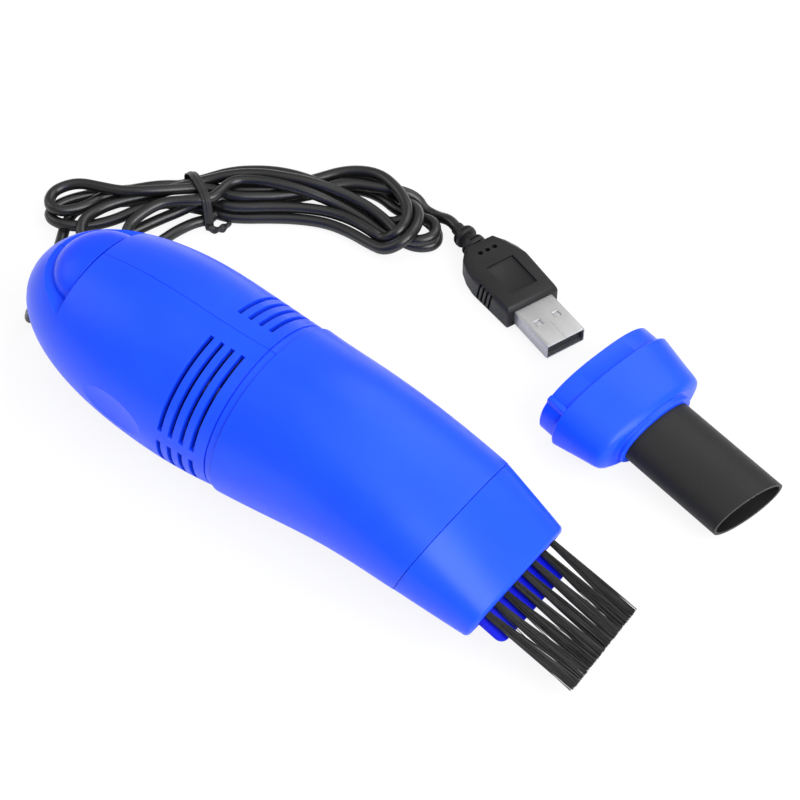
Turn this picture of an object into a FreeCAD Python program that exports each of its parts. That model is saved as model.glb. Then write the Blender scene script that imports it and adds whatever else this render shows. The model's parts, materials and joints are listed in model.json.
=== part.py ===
import FreeCAD, Part
import math
import os

# Desktop mini vacuum cleaner with a brush nozzle, a loose crevice tool and a USB lead.
# Millimetres. Row frame: +X towards the nozzle, +Y to the vacuum's left, +Z up, floor at z = 0.
# The vacuum is drawn in its own frame: +X forward along the motor axis, origin at the centre
# of the housing's front edge. The nozzle, the crevice tool and the plug have frames of their own.

Vector = FreeCAD.Vector
X_AXIS = Vector(1, 0, 0)
Y_AXIS = Vector(0, 1, 0)
Z_AXIS = Vector(0, 0, 1)

# Where the vacuum lies: on its belly, nose down
VACUUM_AT = Vector(-15.72, -29.77, 22.38)
VACUUM_PITCH = 5.0

# Housing: egg-shaped shell in two halves
FRONT_WIDTH = 46.9
FRONT_TOP = 22.8
FRONT_BOTTOM = -22.0
FRONT_HEIGHT = FRONT_TOP - FRONT_BOTTOM
FRONT_Z = (FRONT_TOP + FRONT_BOTTOM) / 2
BELLY_X = -22.0
BELLY_WIDTH = 49.6
BELLY_TOP = 21.4
BELLY_BOTTOM = -23.9
TAIL_LENGTH = 51.3
TAIL_Z = -2.2
TAIL_ROUNDNESS = {"width": 2.25, "top": 2.0, "bottom": 2.3}
HOUSING_WALL = 2.0
PARTING_GAP = 0.12
BAND_LENGTH = 2.28
BAND_GROOVE = 0.45

# Flat shelf of the switch, cut into the tail's top
SHELF_Z = 8.8
SHELF_FRONT_X = -52.5
SLOT_LENGTH = 8.4
SLOT_WIDTH = 3.6
SLOT_X = -59.6

# Exhaust slots on each side of the fan chamber
VENT_COUNT = 4
VENT_WIDTH = 1.3
VENT_PITCH = 3.2
VENT_FRONT_X = -3.1
VENT_LONG = (12.6, 82.0)
VENT_SHORT = (90.0, 114.0)

# Spigot that carries the dust cup
SPIGOT_WIDTH = 42.8
SPIGOT_HEIGHT = 40.9
SPIGOT_Z = 1.1
SPIGOT_END_X = 9.5
SPIGOT_WALL = 2.4

# Dust cup and the nozzle joint at its front
CUP_START_X = 2.5
CUP_WALL = 1.4
CUP_MID_X = 20.8
SEAM_X = 55.9
SEAM_Z = 3.0
SEAM_WIDTH = 42.0
SEAM_HEIGHT = 24.0
SEAM_SQUARENESS = 2.45
NOSE_DROOP = 14.0

# Skirt shared by the brush nozzle and the crevice tool
SKIRT_LENGTH = 5.6
SKIRT_WIDTH = 38.7
SKIRT_HEIGHT = 20.7
SKIRT_WALL = 1.4
KEY_WIDTH = 1.3
KEY_HEIGHT = 0.4
KEY_Y = -17.2

# Brush nozzle
NOZZLE_LENGTH = 20.0
MOUTH_WIDTH = 36.5
MOUTH_HEIGHT = 16.1
MOUTH_SQUARENESS = 2.8
NOZZLE_WALL = 1.6
TONGUE_WIDTH = 29.4
TONGUE_REACH = 27.2
TONGUE_THICKNESS = 2.0
TONGUE_Z = -1.0
TUFT_COUNT = 8
TUFT_ROOT_PITCH = 3.75
TUFT_TIP_PITCH = 3.25
TUFT_ROOT_X = 20.9
TUFT_LENGTH = 25.5
TUFT_SOCKET = 3.0
TUFT_Z = 1.2

# Motor, shaft and fan
MOTOR_DIAMETER = 20.1
MOTOR_FLATS = 15.1
MOTOR_LENGTH = 25.0
MOTOR_FRONT_X = -17.6
CAN_WALL = 0.8
SHAFT_RADIUS = 1.0
SHAFT_CLEARANCE = 0.05
FAN_RADIUS = 17.5
FAN_BLADES = 9

# Crevice tool, lying loose on the floor
CREVICE_AT = Vector(36.41, 34.9, 11.41)
CREVICE_HEADING = -8.7
CREVICE_PITCH = 5.8
CREVICE_BACK_WIDTH = 41.4
CREVICE_BACK_HEIGHT = 21.8
CREVICE_FRONT_WIDTH = 37.6
CREVICE_FRONT_HEIGHT = 17.6
CREVICE_FRONT_X = 20.2
TUBE_WIDTH = 22.3
TUBE_HEIGHT = 11.8
TUBE_WALL = 0.9
TUBE_START_X = 14.0
TUBE_END_X = 53.64
MOUTH_SLANT = 6.5

# USB plug, lying on the floor; its frame starts at the front of the overmould
PLUG_AT = Vector(7.27, 50.11, 4.0)
PLUG_HEADING = -18.9
PLUG_BODY_LENGTH = 25.0
PLUG_BODY_WIDTH = 16.2
PLUG_BODY_FRONT_WIDTH = 15.2
PLUG_BODY_BACK_WIDTH = 8.4
PLUG_BODY_HEIGHT = 8.0
USB_WIDTH = 12.0
USB_HEIGHT = 4.5
USB_REACH = 14.6
USB_SHEET = 0.3
RELIEF_LENGTH = 10.5
GRIP_SLITS = 4

# Lead
CORD_DIAMETER = 3.1
CORD_RADIUS = CORD_DIAMETER / 2
HANK_TOP = 9.3

PARTS = {}


# ---------------------------------------------------------------- helpers

def placed(at, heading=0.0, pitch=0.0):
    """Placement that turns a piece nose-down by pitch, then about +Z by heading."""
    turn = FreeCAD.Rotation(Z_AXIS, heading) * FreeCAD.Rotation(Y_AXIS, pitch)
    return FreeCAD.Placement(at, turn)


VACUUM = placed(VACUUM_AT, 0, VACUUM_PITCH)
NOSE = VACUUM * placed(Vector(SEAM_X, 0, SEAM_Z), 0, NOSE_DROOP)
CREVICE = placed(CREVICE_AT, CREVICE_HEADING, CREVICE_PITCH)
PLUG = placed(PLUG_AT, PLUG_HEADING)


def keep(name, shape, frame=None):
    """Store a finished piece under its node name, moved from its frame into the row frame."""
    piece = shape.copy()
    if frame is not None:
        piece.Placement = frame * piece.Placement
    PARTS[name] = piece


def box(x0, x1, y0, y1, z0, z1):
    return Part.makeBox(x1 - x0, y1 - y0, z1 - z0, Vector(x0, y0, z0))


def rod(x0, x1, radius, y=0.0, z=0.0):
    """Round bar along X."""
    return Part.makeCylinder(radius, x1 - x0, Vector(x0, y, z), X_AXIS)


def cross_rod(y0, y1, radius, x, z):
    """Round bar along Y."""
    return Part.makeCylinder(radius, y1 - y0, Vector(x, y0, z), Y_AXIS)


def ellipse(x, width, height, mid_z=0.0):
    """Closed elliptical wire across X, wider than it is high."""
    middle = Vector(x, 0, mid_z)
    curve = Part.Ellipse(middle + Vector(0, width / 2, 0), middle + Vector(0, 0, height / 2), middle)
    return Part.Wire([curve.toShape()])


def oval(x, width, height, mid_z=0.0, squareness=2.0, lean=0.0, mid_y=0.0, count=16):
    """Closed superellipse wire across X; lean tips its top forward by that many degrees."""
    points = []
    for step in range(count):
        angle = 2 * math.pi * step / count
        across = math.copysign(abs(math.cos(angle)) ** (2 / squareness), math.cos(angle)) * width / 2
        up = math.copysign(abs(math.sin(angle)) ** (2 / squareness), math.sin(angle)) * height / 2
        tip = math.radians(lean)
        points.append(Vector(x + up * math.sin(tip), mid_y + across, mid_z + up * math.cos(tip)))
    curve = Part.BSplineCurve()
    curve.interpolate(Points=points, PeriodicFlag=True)
    return Part.Wire([curve.toShape()])


def loft(wires, ruled=False):
    return Part.makeLoft(wires, True, ruled)


def oval_bar(x0, x1, width, height, mid_z=0.0, squareness=2.0):
    """Bar along X with an oval section: an ellipse, or a superellipse if squareness is given."""
    if squareness == 2.0:
        wire = ellipse(x0, width, height, mid_z)
    else:
        wire = oval(x0, width, height, mid_z, squareness)
    return Part.Face(wire).extrude(Vector(x1 - x0, 0, 0))


def union(shapes):
    return shapes[0].multiFuse(shapes[1:]).removeSplitter()


def halfspace(side):
    """Block that holds everything on one side of the parting plane."""
    near = PARTING_GAP / 2
    return box(-90, 20, near, 60, -60, 60) if side > 0 else box(-90, 20, -60, -near, -60, 60)


# ---------------------------------------------------------------- housing

def egg_ratio(x, roundness):
    """Share of the belly's size that is left at x, from 1 at the belly to 0 at the tail tip."""
    along = min(1.0, (BELLY_X - x) / TAIL_LENGTH)
    return (1 - along ** roundness) ** (1 / roundness)


def housing_section(x, inset=0.0):
    """Cross-section of the egg at x, made smaller all round by inset."""
    if x >= BELLY_X:
        blend = (x - BELLY_X) / -BELLY_X
        width = BELLY_WIDTH + (FRONT_WIDTH - BELLY_WIDTH) * blend ** 2
        top = BELLY_TOP + (FRONT_TOP - BELLY_TOP) * blend ** 2
        bottom = BELLY_BOTTOM + (FRONT_BOTTOM - BELLY_BOTTOM) * blend ** 2
    else:
        width = BELLY_WIDTH * egg_ratio(x, TAIL_ROUNDNESS["width"])
        top = TAIL_Z + (BELLY_TOP - TAIL_Z) * egg_ratio(x, TAIL_ROUNDNESS["top"])
        bottom = TAIL_Z + (BELLY_BOTTOM - TAIL_Z) * egg_ratio(x, TAIL_ROUNDNESS["bottom"])
    height = top - bottom - 2 * inset
    return width - 2 * inset, height, (top + bottom) / 2


def egg(inset=0.0):
    """Solid egg from the housing's front edge to the tail tip, made smaller by inset."""
    reach = TAIL_LENGTH - inset
    wires = []
    for share in (0.0, 0.25, 0.5, 0.75):
        x = BELLY_X * share
        wires.append(ellipse(x, *housing_section(x, inset)))
    for turn in (0, 10, 20, 30, 40, 50, 60, 70, 78, 85):
        along = math.sin(math.radians(turn))
        section = housing_section(BELLY_X - TAIL_LENGTH * along, inset)
        wires.append(ellipse(BELLY_X - reach * along, *section))
    return loft(wires)


def vent_cutter(x, start, end, side):
    """Sector-shaped blade that cuts one slot, from start to end degrees off the top."""
    blade = Part.makeCylinder(32, VENT_WIDTH, Vector(x, 0, 0), X_AXIS, end - start)
    core = rod(x - 1, x + VENT_WIDTH + 1, 16.5)
    blade.rotate(Vector(0, 0, 0), X_AXIS, start if side < 0 else -end)
    return blade.cut(core)


def vent_cutters():
    cutters = []
    for index in range(VENT_COUNT):
        x = VENT_FRONT_X - VENT_WIDTH - index * VENT_PITCH
        for side in (-1, 1):
            for start, end in (VENT_LONG, VENT_SHORT):
                cutters.append(vent_cutter(x, start, end, side))
    return cutters


def ellipsoid(centre, half_x, half_y, half_z):
    ball = Part.makeSphere(1.0)
    stretch = FreeCAD.Matrix()
    stretch.scale(half_x, half_y, half_z)
    ball = ball.transformGeometry(stretch)
    ball.translate(centre)
    return ball


def finger_scallops():
    """Shallow oval dishes for finger and thumb, one on each flank."""
    reach = BELLY_WIDTH / 2 + 3.9
    return [ellipsoid(Vector(-31.5, side * reach, -2.0), 20.0, 5.0, 17.0) for side in (-1, 1)]


MOTOR_BACK_X = MOTOR_FRONT_X - MOTOR_LENGTH
RIB_PLACES = (MOTOR_FRONT_X - 5.0, MOTOR_BACK_X + 6.0)
SCREW_PLACES = ((-30.0, -15.8), (-49.5, -13.4))
PEG_PLACE = (-30.0, 14.6)


def motor_section(x0, x1, grow=0.0):
    """Bar with the motor's round-and-flat outline."""
    half = MOTOR_FLATS / 2 + grow
    return rod(x0, x1, MOTOR_DIAMETER / 2 + grow).common(box(x0, x1, -20, 20, -half, half))


def housing_inner():
    """Ribs that cradle the motor, the rails that grip the fan plate and the screw bosses."""
    core = egg(HOUSING_WALL - 0.4)
    pieces = []
    for x in RIB_PLACES:
        rib = core.common(box(x - 0.8, x + 0.8, -30, 30, -30, 30))
        pieces.append(rib.cut(motor_section(x - 2, x + 2, 0.1)))
    for x0, x1 in ((MOTOR_FRONT_X + 1.75, MOTOR_FRONT_X + 3.0), (MOTOR_FRONT_X - 1.3, MOTOR_FRONT_X - 0.05)):
        ring = core.common(box(x0, x1, -30, 30, -30, 30))
        pieces.append(ring.cut(rod(x0 - 1, x1 + 1, 18.4)))
    for x, z in SCREW_PLACES + (PEG_PLACE,):
        pieces.append(core.common(cross_rod(-30, 30, 3.2, x, z)))
    return pieces


def housing_shell():
    """Whole hollow housing, before it is split into halves."""
    outer = egg().cut(box(-90, SHELF_FRONT_X, -40, 40, SHELF_Z, 40))
    wall = HOUSING_WALL
    hollow = egg(wall).cut(box(-90, SHELF_FRONT_X + wall, -40, 40, SHELF_Z - wall, 40))
    shell = outer.cut(hollow)
    band = oval_bar(BAND_GROOVE, BAND_LENGTH, FRONT_WIDTH, FRONT_HEIGHT, FRONT_Z)
    neck = oval_bar(-0.1, BAND_GROOVE + 0.1, FRONT_WIDTH - 1.0, FRONT_HEIGHT - 1.0, FRONT_Z)
    band = band.fuse(neck)
    spigot = oval_bar(-0.1, SPIGOT_END_X, SPIGOT_WIDTH, SPIGOT_HEIGHT, SPIGOT_Z)
    bore = oval_bar(-1, SPIGOT_END_X + 1, SPIGOT_WIDTH - 2 * SPIGOT_WALL,
                    SPIGOT_HEIGHT - 2 * SPIGOT_WALL, SPIGOT_Z)
    shell = shell.fuse(band.fuse(spigot).cut(bore))
    shell = shell.multiFuse(housing_inner())
    grille_seat = oval_bar(GRILLE_X - 0.05, GRILLE_X + GRILLE_THICKNESS + 0.05,
                           SPIGOT_WIDTH - 2.2, SPIGOT_HEIGHT - 2.2, SPIGOT_Z)
    slot = box(SLOT_X - SLOT_LENGTH / 2, SLOT_X + SLOT_LENGTH / 2,
               -SLOT_WIDTH / 2, SLOT_WIDTH / 2, SHELF_Z - 5, SHELF_Z + 5)
    gland_hole = strain_relief_bar(RELIEF_NECK_RADIUS + 0.02)
    tools = vent_cutters() + finger_scallops() + [grille_seat, slot, gland_hole]
    return shell.cut(tools)


def make_housing():
    shell = housing_shell()
    right = shell.common(halfspace(-1))
    left = shell.common(halfspace(1))
    for x, z in SCREW_PLACES:
        left = left.cut(cross_rod(-1, 40, 1.25, x, z)).cut(cross_rod(9.0, 40, 2.3, x, z))
        right = right.cut(cross_rod(-9.0, 1, 0.95, x, z))
    left = left.cut(cross_rod(-1, 5.0, 1.25, *PEG_PLACE))
    right = right.fuse(cross_rod(-2.0, 4.5, 1.2, *PEG_PLACE))
    keep("housing_right", right, VACUUM)
    keep("housing_left", left, VACUUM)
    screws = []
    for x, z in SCREW_PLACES:
        shank = cross_rod(-8.0, 9.1, 0.94, x, z)
        head = cross_rod(9.02, 10.6, 2.1, x, z)
        recess = box(x - 1.4, x + 1.4, 9.9, 11, z - 0.3, z + 0.3)
        cross = box(x - 0.3, x + 0.3, 9.9, 11, z - 1.4, z + 1.4)
        screws.append(shank.fuse(head).cut([recess, cross]))
    keep("housing_screws", Part.makeCompound(screws), VACUUM)


# ---------------------------------------------------------------- inlet grille, motor and fan

GRILLE_X = 5.0
GRILLE_THICKNESS = 1.6


def make_inlet_grille():
    """Oval plate in the spigot with a ring of radial slots, in front of the fan."""
    plate = oval_bar(GRILLE_X, GRILLE_X + GRILLE_THICKNESS, SPIGOT_WIDTH - 2.3,
                     SPIGOT_HEIGHT - 2.3, SPIGOT_Z)
    slots = []
    for index in range(12):
        slot = box(GRILLE_X - 1, GRILLE_X + 3, 6.4, 15.4, -1.2, 1.2)
        slot.rotate(Vector(0, 0, 0), X_AXIS, index * 30)
        slots.append(slot)
    keep("inlet_grille", plate.cut(slots), VACUUM)


def make_motor():
    inside = motor_section(MOTOR_BACK_X - 1, MOTOR_FRONT_X - CAN_WALL, -CAN_WALL)
    nose = rod(MOTOR_FRONT_X, MOTOR_FRONT_X + 1.5, 3.0)
    can = motor_section(MOTOR_BACK_X, MOTOR_FRONT_X).cut(inside).fuse(nose)
    shaft_hole = rod(MOTOR_BACK_X - 5, MOTOR_FRONT_X + 5, SHAFT_RADIUS + SHAFT_CLEARANCE)
    screw_holes = [rod(MOTOR_FRONT_X - 3, MOTOR_FRONT_X + 3, 0.9, side * 7.5) for side in (-1, 1)]
    keep("motor_can", can.cut([shaft_hole] + screw_holes), VACUUM)

    magnet_ring = rod(-36.0, -22.0, 9.2).cut(rod(-37, -21, 7.1))
    magnets = []
    for side in (-1, 1):
        window = box(-37, -21, 2.5, 12, -6.6, 6.6) if side > 0 else box(-37, -21, -12, -2.5, -6.6, 6.6)
        magnets.append(magnet_ring.common(window))
    keep("motor_magnets", Part.makeCompound(magnets), VACUUM)

    cap = motor_section(MOTOR_BACK_X + 0.02, MOTOR_BACK_X + 2.6, -CAN_WALL - 0.02)
    cap = cap.fuse(rod(MOTOR_BACK_X - 2.0, MOTOR_BACK_X + 0.1, 3.2))
    terminal_slots = [box(MOTOR_BACK_X - 1, MOTOR_BACK_X + 3, side * 6.5 - 1.2, side * 6.5 + 1.2, -0.3, 0.3)
                      for side in (-1, 1)]
    keep("motor_end_cap", cap.cut([shaft_hole] + terminal_slots), VACUUM)
    tabs = []
    for side in (-1, 1):
        tab = box(MOTOR_BACK_X - 3.6, MOTOR_BACK_X + 2.9, side * 6.5 - 1.15, side * 6.5 + 1.15, -0.25, 0.25)
        tabs.append(tab.cut(Part.makeCylinder(0.5, 2, Vector(MOTOR_BACK_X - 2.6, side * 6.5, -1))))
    keep("motor_terminals", Part.makeCompound(tabs), VACUUM)


def make_rotor():
    """Shaft, wound armature with commutator, and the fan pressed on the front end."""
    keep("motor_shaft", rod(MOTOR_BACK_X - 1.5, -3.4, SHAFT_RADIUS), VACUUM)

    core = rod(-35.5, -23.0, 6.2)
    grooves = []
    for index in range(3):
        groove = box(-37, -21, 4.0, 8.0, -0.6, 0.6)
        pocket = rod(-37, -21, 1.9, 3.9, 0)
        for cutter in (groove, pocket):
            cutter.rotate(Vector(0, 0, 0), X_AXIS, 120 * index + 60)
            grooves.append(cutter)
    commutator = rod(-39.6, -35.3, 2.4)
    armature = core.cut(grooves).fuse(commutator)
    keep("armature", armature.cut(rod(-45, -15, SHAFT_RADIUS)), VACUUM)

    back_plate = rod(-11.6, -10.4, FAN_RADIUS)
    hub = rod(-12.2, -4.2, 4.0)
    blades = []
    for index in range(FAN_BLADES):
        outer = rod(-10.6, -4.6, 14.0, 9.5, 8.0)
        inner = rod(-11, -4, 13.0, 9.5, 8.0)
        blade = outer.cut(inner).common(rod(-11, -4, FAN_RADIUS - 0.1)).cut(rod(-11, -4, 3.8))
        blade = blade.common(box(-11, -4, -20, 0.5, -20, 20))
        blade.rotate(Vector(0, 0, 0), X_AXIS, 360.0 * index / FAN_BLADES)
        blades.append(blade)
    fan = union([back_plate, hub] + blades)
    keep("fan", fan.cut(rod(-20, -2, SHAFT_RADIUS)), VACUUM)


def make_fan_plate():
    """Round plate between motor and fan; rails in the halves grip its rim."""
    x0 = MOTOR_FRONT_X + 0.03
    plate = rod(x0, x0 + 1.65, 19.1)
    holes = [rod(x0 - 1, x0 + 3, 3.05)]
    for side in (-1, 1):
        holes.append(rod(x0 - 1, x0 + 3, 1.0, side * 7.5))
    keep("fan_plate", plate.cut(holes), VACUUM)
    screws = []
    for side in (-1, 1):
        screw = rod(x0 - 2.4, x0 + 1.8, 0.88, side * 7.5).fuse(rod(x0 + 1.68, x0 + 2.6, 1.7, side * 7.5))
        screws.append(screw.cut(box(x0 + 2.2, x0 + 3, side * 7.5 - 1.2, side * 7.5 + 1.2, -0.25, 0.25)))
    keep("motor_screws", Part.makeCompound(screws), VACUUM)


# ---------------------------------------------------------------- slide switch

SWITCH_TRAVEL = 2.0


def make_switch():
    roof = SHELF_Z - HOUSING_WALL - 0.05
    x0 = SLOT_X - 5.5
    x1 = SLOT_X + 5.5
    case = box(x0, x1, -3.0, 3.0, roof - 5.0, roof)
    channel = box(SLOT_X - 3.9, SLOT_X + 3.9, -1.5, 1.5, roof - 3.2, roof + 1)
    keep("switch_body", case.cut(channel), VACUUM)
    pins = [box(SLOT_X + step - 0.25, SLOT_X + step + 0.25, -0.8, 0.8, roof - 8.6, roof - 5.01)
            for step in (-3.5, 0, 3.5)]
    keep("switch_pins", Part.makeCompound(pins), VACUUM)
    rest = SLOT_X + SWITCH_TRAVEL / 2 + 0.2
    lever = box(rest - 2.5, rest + 2.5, -1.4, 1.4, roof - 3.0, roof - 0.6)
    lever = lever.fuse(box(rest - 1.3, rest + 1.3, -1.0, 1.0, roof - 0.7, SHELF_Z + 1.6))
    keep("switch_lever", lever, VACUUM)

    front = SHELF_FRONT_X - 0.45
    base = SHELF_Z + 0.15
    dome = ellipsoid(Vector(front + 0.2, 0, base), 12.3, 12.6, 7.7)
    dome = dome.common(box(front - 20, front, -20, 20, base, 30))
    foot = box(rest - 2.4, rest + 2.4, -1.6, 1.6, SHELF_Z - 1.4, base + 0.5)
    knob = dome.fuse(foot)
    socket = box(rest - 1.3, rest + 1.3, -1.0, 1.0, SHELF_Z - 3, SHELF_Z + 1.6)
    keep("power_knob", knob.cut(socket), VACUUM)


# ---------------------------------------------------------------- gland and inner wires

RELIEF_NECK_RADIUS = 2.5
GLAND_AT = Vector(-66.0, 0, -8.6)
GLAND_AIM = Vector(-0.66, 0, -0.75).normalize()


def strain_relief_bar(radius):
    """Straight bar along the gland's axis, through the tail wall."""
    return Part.makeCylinder(radius, 12, GLAND_AT - GLAND_AIM * 2.5, GLAND_AIM)


def make_strain_relief():
    """Rubber gland: an inner flange, a neck in the wall and a tapered ribbed sleeve outside."""
    inner = Part.makeCylinder(3.4, 1.4, GLAND_AT + GLAND_AIM * -1.4, GLAND_AIM)
    neck = Part.makeCylinder(RELIEF_NECK_RADIUS, 6.2, GLAND_AT, GLAND_AIM)
    sleeve = Part.makeCone(2.5, 2.1, 4.0, GLAND_AT + GLAND_AIM * 6.0, GLAND_AIM)
    keep("strain_relief", inner.fuse([neck, sleeve]), VACUUM)


def make_inner_wires():
    """Two wires from the gland, to the switch and to the motor, and one between those two."""
    pin_z = SHELF_Z - HOUSING_WALL - 8.7
    tab_x = MOTOR_BACK_X - 3.6
    inside = GLAND_AT - GLAND_AIM * 1.4
    ahead = inside - GLAND_AIM * 2.4
    left = Vector(0, 0.9, 0)
    supply = [inside + left, ahead + left, Vector(SLOT_X, 0, pin_z - 2.6), Vector(SLOT_X, 0, pin_z)]
    keep("wire_supply", sweep_tube(supply, 1.0, 1.2), VACUUM)
    switched = [Vector(SLOT_X + 3.5, 0, pin_z), Vector(SLOT_X + 3.5, 0, pin_z - 2.6),
                Vector(tab_x - 2.4, 6.5, 0), Vector(tab_x, 6.5, 0)]
    keep("wire_switched", sweep_tube(switched, 1.0, 1.0), VACUUM)
    ground = [inside - left, ahead - left, Vector(tab_x - 2.4, -6.5, 0), Vector(tab_x, -6.5, 0)]
    keep("wire_ground", sweep_tube(ground, 1.0, 1.0), VACUUM)


# ---------------------------------------------------------------- dust cup and filter

def cup_body(inset, start_x, end_shift=0.0):
    """Cup form from start_x to the leaning seam, made smaller all round by inset."""
    shrink = 2 * inset
    rise = end_shift * math.sin(math.radians(NOSE_DROOP))
    wires = [
        oval(start_x, FRONT_WIDTH + 1.0 - shrink, FRONT_HEIGHT + 0.65 - shrink, FRONT_Z + 0.175),
        oval(12.0, 45.9 - shrink, 44.45 - shrink, 1.62, 2.05),
        oval(CUP_MID_X, 44.6 - shrink, 42.1 - shrink, 2.9, 2.1),
        oval(38.0, 43.2 - shrink, 33.4 - shrink, 4.1, 2.25, NOSE_DROOP / 2),
        oval(SEAM_X + end_shift, SEAM_WIDTH - shrink, SEAM_HEIGHT - shrink, SEAM_Z - rise,
             SEAM_SQUARENESS, NOSE_DROOP),
    ]
    return loft(wires)


def key_rib(grow, x0, x1):
    """Alignment rib on the top right of the skirt, grown by grow for the keyway."""
    top = oval_height(KEY_Y, SKIRT_WIDTH, SKIRT_HEIGHT)
    half = KEY_WIDTH / 2 + grow
    return box(x0, x1, KEY_Y - half, KEY_Y + half, top - 1.2, top + KEY_HEIGHT + grow)


def oval_height(y, width, height):
    """Height of the skirt's superellipse above its middle, at y."""
    ratio = abs(2 * y / width)
    return height / 2 * (1 - ratio ** SEAM_SQUARENESS) ** (1 / SEAM_SQUARENESS)


def make_dust_cup():
    cup = cup_body(0, CUP_START_X).cut(cup_body(CUP_WALL, CUP_START_X - 0.01, 0.02))
    keyway = key_rib(0.25, -SKIRT_LENGTH - 0.6, 2)
    keyway.Placement = placed(Vector(SEAM_X, 0, SEAM_Z), 0, NOSE_DROOP)
    keep("dust_cup", cup.cut(keyway), VACUUM)


FILTER_Z = SPIGOT_Z
FILTER_SEAT_X = GRILLE_X + GRILLE_THICKNESS + 0.3
FILTER_FLANGE = 2.0
FILTER_REACH = 17.0


def filter_cone(inset, back=0.0, front=0.0):
    """Rounded cone of the filter, made smaller by inset; back and front cut its ends short."""
    start = FILTER_SEAT_X + FILTER_FLANGE - 0.5
    end = start + FILTER_REACH
    wires = []
    for share in (0.0, 0.4, 0.75, 1.0):
        wide = 34.8 - 14.2 * share ** 1.6 - 2 * inset
        wires.append(ellipse(start + (end - start) * share, wide, wide - 1.6, FILTER_Z))
    return loft(wires).common(box(start + back, end - front, -30, 30, -30, 30))


def make_filter():
    """Filter cage: a flange in the spigot, a tapered frame of ribs and the cloth inside it."""
    flange_end = FILTER_SEAT_X + FILTER_FLANGE
    tip = flange_end - 0.5 + FILTER_REACH
    flange = oval_bar(FILTER_SEAT_X, flange_end, SPIGOT_WIDTH - 2 * SPIGOT_WALL - 0.6,
                       SPIGOT_HEIGHT - 2 * SPIGOT_WALL - 0.6, FILTER_Z)
    flange = flange.cut(oval_bar(FILTER_SEAT_X - 1, flange_end + 1, 32.2, 30.6, FILTER_Z))
    shell = filter_cone(0).cut(filter_cone(1.2))
    windows = []
    for index in range(6):
        window = box(flange_end + 1.4, tip - 1.6, 3.5, 30, -7.4, 7.4)
        window = window.common(wedge(21.0))
        window.rotate(Vector(0, 0, 0), X_AXIS, index * 60)
        window.translate(Vector(0, 0, FILTER_Z))
        windows.append(window)
    end_ring = oval_bar(tip - 1.2, tip, 20.4, 18.8, FILTER_Z)
    end_ring = end_ring.cut(oval_bar(tip - 2, tip + 1, 14.0, 12.4, FILTER_Z))
    keep("filter_frame", union([flange, shell.cut(windows), end_ring]), VACUUM)
    cloth = filter_cone(1.25, 0.6, 1.25).cut(filter_cone(1.75, 0.0, 1.75))
    keep("filter_cloth", cloth, VACUUM)


def wedge(half_angle):
    """Wedge along X that spans half_angle degrees on each side of +Y."""
    reach = 40.0
    spread = reach * math.tan(math.radians(half_angle))
    corners = [Vector(-5, 0, 0), Vector(-5, reach, spread), Vector(-5, reach, -spread), Vector(-5, 0, 0)]
    return Part.Face(Part.makePolygon(corners)).extrude(Vector(60, 0, 0))


# ---------------------------------------------------------------- brush nozzle

def skirt(wall_inset=0.0, x0=-SKIRT_LENGTH, x1=0.2):
    return oval_bar(x0, x1, SKIRT_WIDTH - 2 * wall_inset, SKIRT_HEIGHT - 2 * wall_inset, 0, SEAM_SQUARENESS)


def nozzle_form(inset, start_x, end_x):
    """Tapered nozzle with a rounded front rim."""
    shrink = 2 * inset
    rim = 1.4
    wires = []
    for share in (0.0, 0.5, 1.0):
        x = start_x + (end_x - rim - start_x) * share
        wires.append(oval(x, SEAM_WIDTH - 0.2 + (MOUTH_WIDTH - SEAM_WIDTH) * share - shrink,
                          SEAM_HEIGHT - 0.3 + (MOUTH_HEIGHT - SEAM_HEIGHT) * share - shrink,
                          0, SEAM_SQUARENESS + (MOUTH_SQUARENESS - SEAM_SQUARENESS) * share))
    form = loft(wires)
    if inset > 0:
        return form
    tip = []
    for turn in (0, 35, 65, 90):
        sink = rim * (1 - math.cos(math.radians(turn)))
        x = end_x - rim + rim * math.sin(math.radians(turn))
        tip.append(oval(x, MOUTH_WIDTH - 0.2 - 2 * sink, MOUTH_HEIGHT - 0.3 - 2 * sink, 0, MOUTH_SQUARENESS))
    return form.fuse(loft(tip))


def make_brush_nozzle():
    outer = nozzle_form(0, 0.15, NOZZLE_LENGTH).fuse(skirt()).fuse(key_rib(0, -SKIRT_LENGTH, 0.2))
    cavity = nozzle_form(NOZZLE_WALL + 0.2, 0.0, NOZZLE_LENGTH)
    mouth = oval_bar(NOZZLE_LENGTH - 4, NOZZLE_LENGTH + 2, MOUTH_WIDTH - 4.4, MOUTH_HEIGHT - 4.4, 0,
                     MOUTH_SQUARENESS)
    throat = skirt(SKIRT_WALL, -SKIRT_LENGTH - 1, 2.0)
    nozzle = outer.cut([cavity, mouth, throat])
    shelf = box(8.0, NOZZLE_LENGTH - 2.0, -18.5, 18.5, TONGUE_Z - TONGUE_THICKNESS / 2 - 1.3,
                TONGUE_Z - TONGUE_THICKNESS / 2 - 0.05)
    shelf = shelf.cut(box(6.0, NOZZLE_LENGTH, -11.0, 11.0, -20, 20))
    shelf = shelf.common(nozzle_form(NOZZLE_WALL - 0.2, 0.0, NOZZLE_LENGTH))
    keep("brush_nozzle", nozzle.fuse(shelf), NOSE)


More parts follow.
